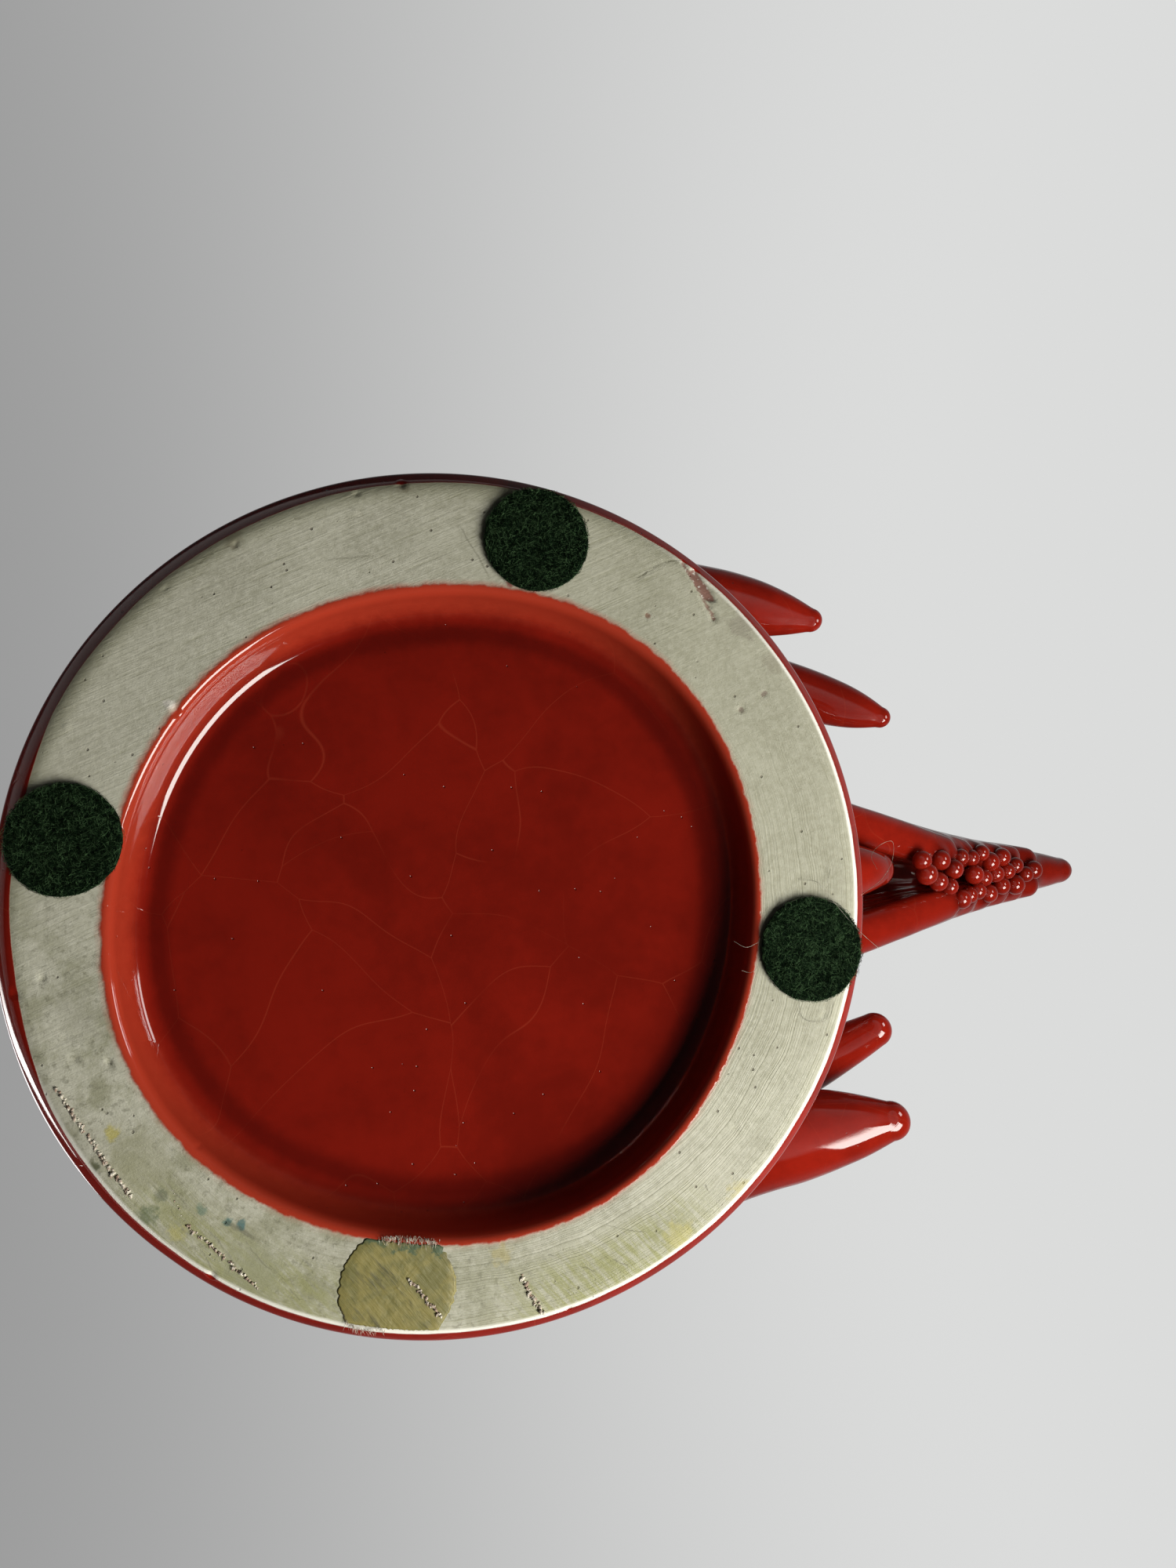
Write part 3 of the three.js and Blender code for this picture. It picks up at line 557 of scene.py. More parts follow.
def feltMaterial():
    material, tree, shader = newMaterial("greenFelt")
    spot = objectSpot(tree)
    shade = attribute(tree, "fibreShade")
    clump = grain(tree, spot, 2.2, 4.0, 0.7)
    colour = tint(tree, ramp(tree, clump, 0.40, 0.68), felt["dark"], felt["mid"])
    colour = tint(tree, ramp(tree, shade, 0.45, 1.0, 0.0, 0.9), colour, felt["light"])
    rough = plus(tree, times(tree, clump, 0.1), 0.85)
    joinLook(tree, shader, colour, rough, grain(tree, spot, 3.0, 4.0), 0.5)
    shader.inputs["Specular IOR Level"].default_value = 0.08
    return material


glueLook = {
    "olive": (0.146, 0.134, 0.042, 1), "ochre": (0.212, 0.180, 0.052, 1), "green": (0.045, 0.080, 0.04, 1),
    "scratch": (0.075, 0.07, 0.03, 1), "padCircle": 66.25, "padAngle": 280.1,
    "brushed": (52.0, (11.0, 1.5, 1.0)),
}


def glueMaterial():
    material, tree, shader = newMaterial("oldGlue")
    spot = objectSpot(tree)
    cloud = grain(tree, spot, 0.30, 5.0, 0.65)
    colour = tint(tree, ramp(tree, cloud, 0.38, 0.62), glueLook["olive"], glueLook["ochre"])
    brushed = stretched(tree, spot, *glueLook["brushed"])
    streak = grain(tree, brushed, 1.0, 3.0, 0.6)
    colour = tint(tree, ramp(tree, streak, 0.57, 0.68, 0.0, 0.75), colour, glueLook["scratch"])
    # Green felt stays in the glue on the side towards the middle of the foot
    centre = tuple(polar(glueLook["padCircle"], glueLook["padAngle"], 0.0))
    away = calcVector(tree, "SUBTRACT", spot, centre)
    inward = tuple(-polar(1.0, glueLook["padAngle"], 0.0))
    inner = calcVector(tree, "DOT_PRODUCT", away, inward, output="Value")
    near = ramp(tree, inner, 0.5, 7.0, -0.25, 0.12)
    patch = grain(tree, spot, 0.42, 5.0, 0.7)
    mask = ramp(tree, plus(tree, patch, near), 0.55, 0.66)
    colour = tint(tree, times(tree, mask, 0.85), colour, glueLook["green"])
    rough = plus(tree, times(tree, cloud, 0.25), 0.42)
    height = plus(tree, times(tree, streak, 0.25), times(tree, cloud, 0.1))
    joinLook(tree, shader, colour, rough, height)
    return material


hairLook = {"dark": (0.08, 0.085, 0.06, 1), "pale": (0.40, 0.37, 0.30, 1)}
tornLook = {"dark": (0.30, 0.21, 0.155, 1), "pale": (0.62, 0.575, 0.475, 1)}


def hairMaterial():
    material, tree, shader = newMaterial("looseFelt")
    spot = objectSpot(tree)
    tone = grain(tree, spot, 0.3, 2.0)
    colour = tint(tree, ramp(tree, tone, 0.4, 0.6), hairLook["dark"], hairLook["pale"])
    joinLook(tree, shader, colour, plus(tree, tone, 0.2), tone, 0.1)
    return material


def tornMaterial():
    material, tree, shader = newMaterial("tornClay")
    spot = objectSpot(tree)
    cloud = grain(tree, spot, 0.8, 3.0)
    colour = tint(tree, ramp(tree, cloud, 0.4, 0.6), tornLook["dark"], tornLook["pale"])
    rough = plus(tree, times(tree, cloud, 0.1), 0.7)
    joinLook(tree, shader, colour, rough, cloud, 0.3)
    return material


redGlaze = redGlazeMaterial()
bareClay = footMaterial()
greenFelt = feltMaterial()
oldGlue = glueMaterial()
tornClay = tornMaterial()
looseFelt = hairMaterial()
print("materials made")

# Foot ring: clay face between the glazed cove inside and the glazed flare outside

foot = {
    "ringHeight": 1.5, "footTop": 12.0, "floorHeight": 10.5, "floorRadius": 46.0, "coveRadius": 52.2,
    "rimRadius": 58.4, "faceRadius": 72.2, "waistRadius": 78.2, "beadRadius": 77.3,
    # Bends and ends along the outline, as radius and height
    "coveBend": (55.9, 10.5), "coveEnd": (56.6, 4.2), "lipBend": (56.9, 1.5), "edgeBend": (74.6, 1.5),
    "edgeEnd": (75.7, 2.6), "beadStart": (76.5, 3.4), "beadLow": 4.2, "beadHigh": 6.4, "flareBend": 9.4,
    "segments": 960, "faceSteps": 30, "coveSteps": 22, "edgeSteps": 14, "beadSteps": 10, "flareSteps": 6,
    "bulge": 1.0, "bulgeAngle": 40.0, "bulgeStart": 75.0, "bulgeHeight": 7.0,
    # The face is marked up to this height; how uneven it is, where that starts, how far a mark may stand out
    "markedHeight": 4.0, "unevenness": 0.12, "unevenStart": (57.5, 60.0), "mostProud": 0.3,
    # Radii between which the recess's shift fades out and its wander sets in
    "strayFades": (58.5, 68.0), "wanderStarts": (48.0, 56.0),
}
# Dents in the bare clay: radius, angle, size, depth
dents = [
    (62.9, 149.2, 1.0, 0.35), (68.4, 149.2, 0.9, 0.3), (62.1, 126.5, 0.7, 0.3), (65.0, 9.1, 0.8, 0.2),
    (69.8, 350.8, 0.7, 0.3), (68.2, 339.1, 1.0, 0.35), (63.6, 336.6, 0.9, 0.3), (71.1, 76.9, 0.7, 0.25),
    (74.8, 84.4, 1.0, 0.5), (73.0, 60.0, 0.8, 0.4), (74.2, 349.8, 1.3, 0.35), (74.6, 304.5, 1.1, 0.5),
    (74.9, 256.4, 0.9, 0.4), (57.6, 35.6, 1.2, 0.5), (71.5, 200.5, 0.8, 0.25), (66.0, 222.0, 0.9, 0.2),
    (74.2, 78.1, 0.9, 0.4), (71.0, 77.0, 1.0, -0.3), (59.9, 317.6, 0.8, 0.3), (69.5, 351.2, 0.9, 0.3),
    (71.8, 25.9, 0.8, -0.25), (59.0, 35.9, 1.2, -0.3), (73.5, 48.7, 0.7, 0.3), (68.6, 342.2, 0.6, 0.3),
    (63.6, 336.5, 0.7, 0.3),
]
# The chip by the outer edge and the hairline that runs from it: ends, half width, depth
gashes = [
    (polar(74.8, 126.4, 0), polar(70.2, 135.3, 0), 0.65, 0.45),
    (polar(74.3, 128.6, 0), polar(72.6, 132.6, 0), 1.35, 0.6),
    (polar(74.7, 125.6, 0), polar(72.3, 123.8, 0), 0.24, 0.12),
    (polar(72.3, 123.8, 0), polar(66.3, 121.4, 0), 0.22, 0.10),
]


# The recess was cut by hand: it lies off the middle and its rim wanders with the glaze line
def recessStray(point, angle):
    radius = point.xy.length
    (_, shift, furthest), *waves = clay["glazeStray"]
    wave = sum(size * math.cos(math.radians(turns * angle - most)) for turns, size, most in waves)
    within = 1 - smooth(radius, *foot["strayFades"])
    wander = polar(wave, angle, 0.0) * within * smooth(radius, *foot["wanderStarts"])
    return polar(shift, furthest, 0.0) * within + wander


def bezier(a, b, c, steps):
    line = []
    for i in range(steps + 1):
        t = i / steps
        line.append(tuple((1 - t) ** 2 * p + 2 * t * (1 - t) * q + t * t * r for p, q, r in zip(a, b, c)))
    return line


def gashDepth(point):
    deepest = 0.0
    for start, end, half, depth in gashes:
        run = end - start
        share = min(1.0, max(0.0, (point - start).dot(run) / run.dot(run)))
        ragged = half * (1.0 + 0.6 * noise.noise(point * 0.9))
        deepest = max(deepest, depth * smooth((point - start - run * share).length, ragged, ragged * 0.35))
    return deepest


def buildFoot():
    floor = [(mix(foot["floorRadius"], foot["coveRadius"], i / 4), foot["floorHeight"]) for i in range(4)]
    coveStart = (foot["coveRadius"], foot["floorHeight"])
    cove = bezier(coveStart, foot["coveBend"], foot["coveEnd"], foot["coveSteps"])
    faceStart = (foot["rimRadius"], foot["ringHeight"])
    faceEnd = (foot["faceRadius"], foot["ringHeight"])
    lip = bezier(foot["coveEnd"], foot["lipBend"], faceStart, foot["edgeSteps"])
    bare = [(mix(foot["rimRadius"], foot["faceRadius"], i / foot["faceSteps"]), foot["ringHeight"])
            for i in range(1, foot["faceSteps"])]
    edge = bezier(faceEnd, foot["edgeBend"], foot["edgeEnd"], foot["edgeSteps"])
    low, high, bend = ((foot["beadRadius"], foot[key]) for key in ("beadLow", "beadHigh", "flareBend"))
    bead = bezier(foot["beadStart"], low, high, foot["beadSteps"])
    flare = bezier(high, bend, (foot["waistRadius"], foot["footTop"]), foot["flareSteps"])
    inside = [(foot["floorRadius"], foot["footTop"])] + floor + cove + lip[1:]
    profile = inside + bare + edge + bead + flare[1:]
    rings, scars = [], []
    for radius, height in profile:
        ring = []
        for k in range(foot["segments"]):
            angle = 360.0 * k / foot["segments"]
            lobe = foot["bulge"] * max(0.0, math.cos(math.radians(angle - foot["bulgeAngle"])))
            lobe *= smooth(radius, foot["bulgeStart"], foot["beadRadius"])
            lobe *= smooth(height, foot["footTop"], foot["bulgeHeight"])
            point = polar(radius + lobe, angle, 0.0)
            point += recessStray(point, angle)
            lift, scar = 0.0, 0.0
            if height < foot["markedHeight"]:
                lift = foot["unevenness"] * noise.noise(point * 0.06) * smooth(radius, *foot["unevenStart"])
                for reach, bearing, size, depth in dents:
                    far = (point - polar(reach, bearing, 0.0)).length
                    if far < size * 1.6:
                        lift += depth * smooth(far, size * (1 + 0.5 * noise.noise(point)), 0.0)
                scar = gashDepth(point)
                lift += scar
            point.z = max(height + lift, height - foot["mostProud"])
            ring.append(point)
            scars.append(min(1.0, scar * 1.3))
        rings.append(ring)
    piece = crisp(meshPiece("footRing", *skin(rings, closed=True), bareClay))
    storeValues(piece, "scar", scars)
    return keep(piece, "bare_clay", "foot_ring")


dish = {
    "rings": 40, "segments": 240, "waviness": 0.25, "settled": (36.0, 44.0), "strayFades": (50.0, 70.0),
    "slabRadius": 71.9, "slabTop": 18.0, "shoulder": 12.05,
}


def buildDish():
    rings = [[Vector((0.0, 0.0, foot["floorHeight"]))]]
    for i in range(1, dish["rings"] + 1):
        radius = foot["floorRadius"] * i / dish["rings"]
        settle = 1 - smooth(radius, *dish["settled"])
        ring = ringPoints(radius, foot["floorHeight"], dish["segments"])
        for point in ring:
            point.z += dish["waviness"] * settle * noise.noise(point * 0.045)
        rings.append(ring)
    for radius, height in ((foot["floorRadius"], foot["footTop"]), (dish["slabRadius"], dish["shoulder"]),
                           (dish["slabRadius"], dish["slabTop"])):
        rings.append(ringPoints(radius, height, dish["segments"]))
    rings.append([Vector((0.0, 0.0, dish["slabTop"]))])
    shift, furthest = clay["glazeStray"][0][1:]
    for ring in rings:
        for point in ring:
            point += polar(shift, furthest, 0.0) * (1 - smooth(point.xy.length, *dish["strayFades"]))
    piece = crisp(meshPiece("baseDish", *skin(rings), redGlaze))
    storeValues(piece, "pool", [glaze["dishPool"]] * len(piece.data.vertices))
    return keep(piece, "red_glaze", "base_dish")


buildFoot()
buildDish()
print("foot built")

# Felt pads: a pressed disc covered in fibres

pads = {
    "circle": 66.25, "angles": {"front": 10.5, "left": 104.7, "rear": 191.1}, "segments": 72,
    # The disc under its nap: radii at its top, then radius and height down its edge and across
    "topRadii": (0.0, 8.6, 9.2),
    "edge": ((9.5, 1.2), (9.55, 0.85), (9.4, 0.52), (9.0, 0.37), (8.2, 0.34), (5.5, 0.34), (2.8, 0.34),
             (0.0, 0.34)),
    "reach": 9.62, "lowest": 0.02, "density": 2.0e7, "quickShare": 0.4, "fibreLength": 1.7,
    "fibreThickness": 0.026, "fibreLift": 0.30, "seed": 7,
}


def fibreTree():
    tree, given = newTree("feltFibres", [
        ("Density", "Float"), ("Fibre length", "Float"), ("Fibre thickness", "Float"),
        ("Fibre lift", "Float"), ("Lowest", "Float"), ("Centre", "Vector"), ("Reach", "Float"),
        ("Seed", "Int"), ("Felt", "Material")])
    aim = addNode(tree, "GeometryNodeInputNormal").outputs[0]
    under = calc(tree, "LESS_THAN", separate(tree, aim)["Z"], -0.3)
    spread = addNode(tree, "GeometryNodeDistributePointsOnFaces", {
        "Mesh": given["Geometry"], "Selection": under, "Density": given["Density"], "Seed": given["Seed"]})
    section = addNode(tree, "GeometryNodeCurvePrimitiveCircle",
                      {"Resolution": 3, "Radius": given["Fibre thickness"]}).outputs["Curve"]
    shapes = addNode(tree, "GeometryNodeJoinGeometry")
    for bend, end in ((0.32, 0.10), (-0.28, -0.12), (0.12, 0.42)):
        half = times(tree, given["Fibre length"], 0.5)
        aside = times(tree, given["Fibre length"], bend)
        middle = combine(tree, half, aside, given["Fibre lift"])
        aside = times(tree, given["Fibre length"], end)
        far = combine(tree, given["Fibre length"], aside, times(tree, given["Fibre lift"], 0.4))
        arc = addNode(tree, "GeometryNodeCurveQuadraticBezier", {
            "Resolution": 4, "Start": (0, 0, 0), "Middle": middle, "End": far}).outputs[0]
        fibre = sweep(tree, arc, section)
        single = addNode(tree, "GeometryNodeGeometryToInstance", {"Geometry": fibre})
        tree.links.new(single.outputs[0], shapes.inputs[0])
    low, high = (-0.25, -0.30, 0.0), (0.25, 0.10, 2 * math.pi)
    spin = randomValue(tree, "FLOAT_VECTOR", low, high, given["Seed"])
    spin = addNode(tree, "FunctionNodeEulerToRotation", {"Euler": spin}).outputs[0]
    turn = addNode(tree, "FunctionNodeRotateRotation", {
        "Rotation": spread.outputs["Rotation"], "Rotate By": spin}, rotation_space="LOCAL")
    fibres = addNode(tree, "GeometryNodeInstanceOnPoints", {
        "Points": spread.outputs["Points"], "Instance": shapes.outputs[0], "Pick Instance": True,
        "Instance Index": randomValue(tree, "INT", 0, 2), "Rotation": turn.outputs[0],
        "Scale": randomValue(tree, "FLOAT", 0.45, 1.25)})
    shade = randomValue(tree, "FLOAT", 0.0, 1.0, 3)
    stored = addNode(tree, "GeometryNodeStoreNamedAttribute", {
        "Geometry": fibres.outputs[0], "Name": "fibreShade", "Value": shade},
        data_type="FLOAT", domain="INSTANCE")
    both = addNode(tree, "GeometryNodeJoinGeometry")
    tree.links.new(stored.outputs[0], both.inputs[0])
    tree.links.new(given["Geometry"], both.inputs[0])
    # Fibres end at the cut edge, and those that would hang below the table lie flat on it
    solid = addNode(tree, "GeometryNodeRealizeInstances", {"Geometry": both.outputs[0]}).outputs[0]
    where = addNode(tree, "GeometryNodeInputPosition").outputs[0]
    away = calcVector(tree, "SUBTRACT", where, given["Centre"])
    flat = calcVector(tree, "MULTIPLY", away, (1.0, 1.0, 0.0))
    far = calcVector(tree, "LENGTH", flat, output="Value")
    cut = ramp(tree, grain(tree, where, 700.0), 0.3, 0.7, 0.985, 1.03)
    limit = times(tree, given["Reach"], cut)
    held = scaled(tree, flat, calc(tree, "MINIMUM", calc(tree, "DIVIDE", limit, far), 1.0))
    held = separate(tree, calcVector(tree, "ADD", held, given["Centre"]))
    level = calc(tree, "MAXIMUM", separate(tree, where)["Z"], given["Lowest"])
    pressed = setPosition(tree, solid, Position=combine(tree, held["X"], held["Y"], level))
    endTree(tree, pressed, given["Felt"])
    return tree


def buildPads():
    tree = fibreTree()
    profile = [(radius, foot["ringHeight"]) for radius in pads["topRadii"]] + list(pads["edge"])
    for side, angle in pads["angles"].items():
        centre = polar(pads["circle"], angle, 0.0)
        rings = []
        for radius, height in profile:
            count = 1 if radius == 0 else pads["segments"]
            ring = []
            for k in range(count):
                point = centre + polar(radius, 360.0 * k / count, 0.0)
                spread = 1 + 0.018 * noise.noise(point * 0.35)
                point = centre + (point - centre) * spread
                point.z = height + (0.10 * noise.noise(point * 0.5) if height < 1.0 else 0.0)
                ring.append(point)
            rings.append(ring)
        disc = meshPiece("disc", *skin(rings))
        name = "feltPad" + side.capitalize()
        piece = runTree(disc, name, tree, {
            "Density": pads["density"] * 1.0,
            "Fibre length": pads["fibreLength"] * mm, "Lowest": pads["lowest"] * mm,
            "Centre": list(place(centre)), "Reach": pads["reach"] * mm,
            "Fibre thickness": pads["fibreThickness"] * mm, "Fibre lift": pads["fibreLift"] * mm,
            "Seed": pads["seed"] + int(angle), "Felt": greenFelt})
        keep(piece, "green_felt", "felt_pad_" + side)


buildPads()
print("felt pads built")

# Glue left by the lost pad

glueDisc = {
    "radius": 9.9, "circle": 67.4, "angle": 280.1, "inside": 59.9, "outside": 74.2, "thickness": 0.2,
    "bed": 0.2, "middle": 0.25, "thinnest": 0.02, "step": 0.1, "segments": 220, "rings": 26,
}


def buildGlue():
    centre = polar(glueDisc["circle"], glueDisc["angle"], 0.0)
    bed = foot["ringHeight"] + glueDisc["bed"]
    rings = [[Vector((centre.x, centre.y, bed))]]
    count, steps, step = glueDisc["segments"], glueDisc["rings"], glueDisc["step"]
    reaches = []
    for k in range(count):
        aim = polar(1.0, 360.0 * k / count, 0.0)
        reach = 0.0
        limit = glueDisc["radius"] + 0.35 * noise.noise(aim * 3.1) + 0.22 * noise.noise(aim * 11.0)
        while (reach < limit and
               glueDisc["inside"] < (centre + aim * (reach + step)).length < glueDisc["outside"]):
            reach += step
        reaches.append(reach + 0.25 * noise.noise(aim * 17.0))
    for share in (0.5, 0.97):
        rings.append([centre + polar(reaches[k] * share, 360.0 * k / count, bed) for k in range(count)])
    for i in range(steps):
        share = 1 - i / steps
        ring = []
        for k in range(count):
            point = centre + polar(reaches[k] * share, 360.0 * k / count, 0.0)
            ridge = 0.5 + 0.5 * noise.noise(point * 0.7) + 0.35 * noise.noise(point * 2.3)
            film = glueDisc["thickness"] * smooth(share, 1.02, 0.86) * (0.55 + 0.4 * ridge)
            point.z = foot["ringHeight"] - max(glueDisc["thinnest"], film)
            ring.append(point)
        rings.append(ring)
    rings.append([Vector((centre.x, centre.y, foot["ringHeight"] - glueDisc["middle"]))])
    keep(meshPiece("glueMark", *skin(rings), oldGlue), "old_glue", "glue_mark")


buildGlue()

torn = {
    # rows of torn flakes on the clay, as radius and angle from end to end; then flake size and spacing
    "rows": (((72.5, 336.3), (72.0, 330.1), (72.0, 324.5), (72.5, 319.4), 0.85, 0.4),
             ((70.2, 311.1), (70.3, 308.3), (70.8, 305.0), (73.0, 298.6), 0.75, 0.45),
             ((66.9, 262.0), (69.2, 261.4), (71.6, 260.7), (74.1, 259.9), 0.85, 0.28),
             ((65.6, 278.6), (67.6, 276.9), (69.6, 275.3), (71.7, 273.8), 0.75, 0.28),
             ((67.4, 316.0), (68.2, 314.6), (69.0, 313.2), (69.8, 311.8), 0.4, 0.8)),
    "rowHeights": (0.0, 0.0, 0.0, 0.2, -0.05), "fringeHeight": 0.15,
    "fringes": (((59.5, 284.0), (59.0, 281.0), (58.9, 278.0), (59.4, 274.6), 1.5, 0.09),
                ((74.0, 286.2), (74.5, 284.6), (74.6, 282.8), (74.3, 281.2), 1.2, 0.14)),
    # slimness of the flakes and how far they scatter
    "kinds": (("rows", "tornRow", 0.45, 0.3), ("fringes", "glueFringe", 0.045, 0.35)),
    "seed": 5,
}


# Small cones along a line, each turned its own way
def flakeTree():
    tree, given = newTree("tornFlakes", [
        ("Spacing", "Float"), ("Flake size", "Float"), ("Slimness", "Float"), ("Scatter", "Float"),
        ("Seed", "Int"), ("Clay", "Material")])
    spots = addNode(tree, "GeometryNodeCurveToPoints", {
        "Curve": given["Geometry"], "Length": given["Spacing"]}, mode="LENGTH").outputs["Points"]
    slip = randomValue(tree, "FLOAT_VECTOR", (-1, -1, 0), (1, 1, 0), given["Seed"])
    spots = setPosition(tree, spots, Offset=scaled(tree, slip, given["Scatter"]))
    width = times(tree, given["Flake size"], given["Slimness"])
    cone = addNode(tree, "GeometryNodeMeshCone", {
        "Vertices": 5, "Radius Top": 0.0, "Radius Bottom": width,
        "Depth": given["Flake size"]}).outputs["Mesh"]
    spin = randomValue(tree, "FLOAT_VECTOR", (1.1, -0.4, -0.7), (2.0, 0.4, 0.7), given["Seed"])
    turn = addNode(tree, "FunctionNodeEulerToRotation", {"Euler": spin}).outputs[0]
    grow = randomValue(tree, "FLOAT", 0.55, 1.2, given["Seed"])
    flakes = addNode(tree, "GeometryNodeInstanceOnPoints", {
        "Points": spots, "Instance": cone, "Rotation": turn, "Scale": grow}).outputs[0]
    endTree(tree, flakes, given["Clay"])
    return tree


def buildTorn():
    tree = flakeTree()
    for kind, label, slimness, scatter in torn["kinds"]:
        for i, (*spots, size, spacing) in enumerate(torn[kind], 1):
            name = label + str(i)
            proud = torn["rowHeights"][i - 1] if kind == "rows" else torn["fringeHeight"]
            path = pathThrough([polar(reach, angle, foot["ringHeight"] - proud) for reach, angle in spots])
            piece = runTree(curveSource(name, path), name, tree, {
                "Spacing": spacing * mm, "Flake size": size * mm, "Slimness": slimness,
                "Scatter": scatter * mm, "Seed": torn["seed"] + i, "Clay": tornClay})
            keep(piece, "bare_clay")


hairs = {
    "thickness": 0.03,
    "paths": (((-63.4, 0.1, 1.3), (-66.7, -0.5, 0.6), (-69.5, -4.2, 0.035), (-73.8, -9.5, 0.035),
               (-78.2, -13.4, 0.9)),
              ((-75.1, -3.3, 0.6), (-79.6, -0.4, 1.0), (-82.0, 2.9, 1.4), (-82.3, 6.5, 1.6),
               (-79.6, 5.8, 1.5), (-77.9, 3.9, 1.3), (-78.7, 1.4, 1.0)),
              ((-61.8, -21.4, 0.7), (-62.7, -25.1, 1.1), (-65.2, -26.2, 1.2), (-67.8, -25.4, 1.1),
               (-68.7, -21.9, 0.7)),
              ((-68.1, -3.4, 0.5), (-69.0, 0.2, 0.9), (-69.6, 1.8, 1.1)),
              ((-54.9, -11.0, 0.7), (-52.6, -11.8, 1.0), (-50.4, -10.6, 1.2)),
              ((-55.2, -14.5, 0.7), (-53.4, -16.4, 1.1), (-51.6, -16.0, 1.3))),
}


def hairTree():
    tree, given = newTree("looseHair", [("Thickness", "Float"), ("Felt", "Material")])
    ring = addNode(tree, "GeometryNodeCurvePrimitiveCircle", {
        "Resolution": 4, "Radius": given["Thickness"]}).outputs[0]
    endTree(tree, sweep(tree, given["Geometry"], ring), given["Felt"])
    return tree


def buildHairs():
    tree = hairTree()
    for i, spots in enumerate(hairs["paths"], 1):
        name = f"looseHair{i}"
        path = pathThrough(spots, 12)
        for spot in path:
            spot.z = max(spot.z, hairs["thickness"])
        piece = runTree(curveSource(name, path), name, tree, {
            "Thickness": hairs["thickness"] * mm, "Felt": looseFelt})
        keep(piece, "green_felt")


buildTorn()
buildHairs()
print("glue mark, torn clay and hairs built")

# Body: thrown round, drawn out at the breast and the rump

body = {
    "waistRadius": 78.2, "radius": 98.0, "widestHeight": 90.0, "height": 158.0, "crownFullness": 0.85,
    "breastStretch": 0.03, "rumpStretch": 0.1, "stretchStart": 40.0, "stretchFull": 112.0,
    "segments": 288, "lowRings": 64, "highRings": 56, "handWork": 0.45,
    "ventRadius": 4.0, "ventHeight": 101.0, "ventDepth": 14.0, "ventSides": 32, "drillLength": 30.0,
}


def roundRadius(height):
    if height <= body["widestHeight"]:
        rise = (height - foot["footTop"]) / (body["widestHeight"] - foot["footTop"])
        return body["waistRadius"] + (body["radius"] - body["waistRadius"]) * math.sin(rise * math.pi / 2)
    rise = min(1.0, (height - body["widestHeight"]) / (body["height"] - body["widestHeight"]))
    return body["radius"] * math.sqrt(1 - rise * rise) ** body["crownFullness"]


def bodyRadius(angle, height):
    front = (1 + math.cos(math.radians(angle))) / 2
    full = smooth(height, body["stretchStart"], body["stretchFull"])
    stretch = 1 + full * (body["breastStretch"] * front ** 3 + body["rumpStretch"] * (1 - front) ** 3)
    return roundRadius(height) * stretch


def onBody(angle, height, lift):
    return polar(bodyRadius(angle, height) + lift, angle, height)


# The firing vent under the tail
def cutVent(piece):
    deep = bodyRadius(180.0, body["ventHeight"]) - body["ventDepth"]
    clear = deep + body["drillLength"]
    rings = []
    for radius, reach in ((0.0, deep), (body["ventRadius"], deep), (body["ventRadius"], clear), (0.0, clear)):
        count = 1 if radius == 0 else body["ventSides"]
        turns = [2 * math.pi * k / count for k in range(count)]
        rings.append([Vector((-reach, radius * math.cos(turn), body["ventHeight"] + radius * math.sin(turn)))
                      for turn in turns])
    drill = meshPiece("ventDrill", *skin(rings), redGlaze)
    cut = piece.modifiers.new("vent", "BOOLEAN")
    cut.operation = "DIFFERENCE"
    cut.solver = "EXACT"
    cut.object = drill
    shell = plainMesh(piece, "bodyShell")
    bpy.data.objects.remove(drill)
    return shell


def buildBody():
    heights = [mix(foot["footTop"], body["widestHeight"], i / body["lowRings"])
               for i in range(body["lowRings"])]
    for i in range(body["highRings"]):
        turn = i / body["highRings"] * math.pi / 2
        heights.append(mix(body["widestHeight"], body["height"], math.sin(turn)))
    rings = [[Vector((0.0, 0.0, foot["footTop"]))]]
    for height in heights:
        ring = []
        for k in range(body["segments"]):
            point = onBody(360.0 * k / body["segments"], height, 0.0)
            settle = smooth(height, foot["footTop"], foot["footTop"] + 8)
            swell = 1 + settle * body["handWork"] * noise.noise(point * 0.03) / 90
            point.x *= swell
            point.y *= swell
            ring.append(point)
        rings.append(ring)
    rings.append([Vector((0.0, 0.0, body["height"]))])
    piece = meshPiece("bodyBlank", *skin(rings), redGlaze)
    keep(crisp(cutVent(piece)), "red_glaze", "body_shell")


buildBody()
print("body built")

# Rolled feathers: a taper with a round tip, swept along a path, flatter one way than the other

rolled = {"rings": 56, "sides": 28, "tipCrowding": 1.9, "handWobble": 0.35, "seed": 11}


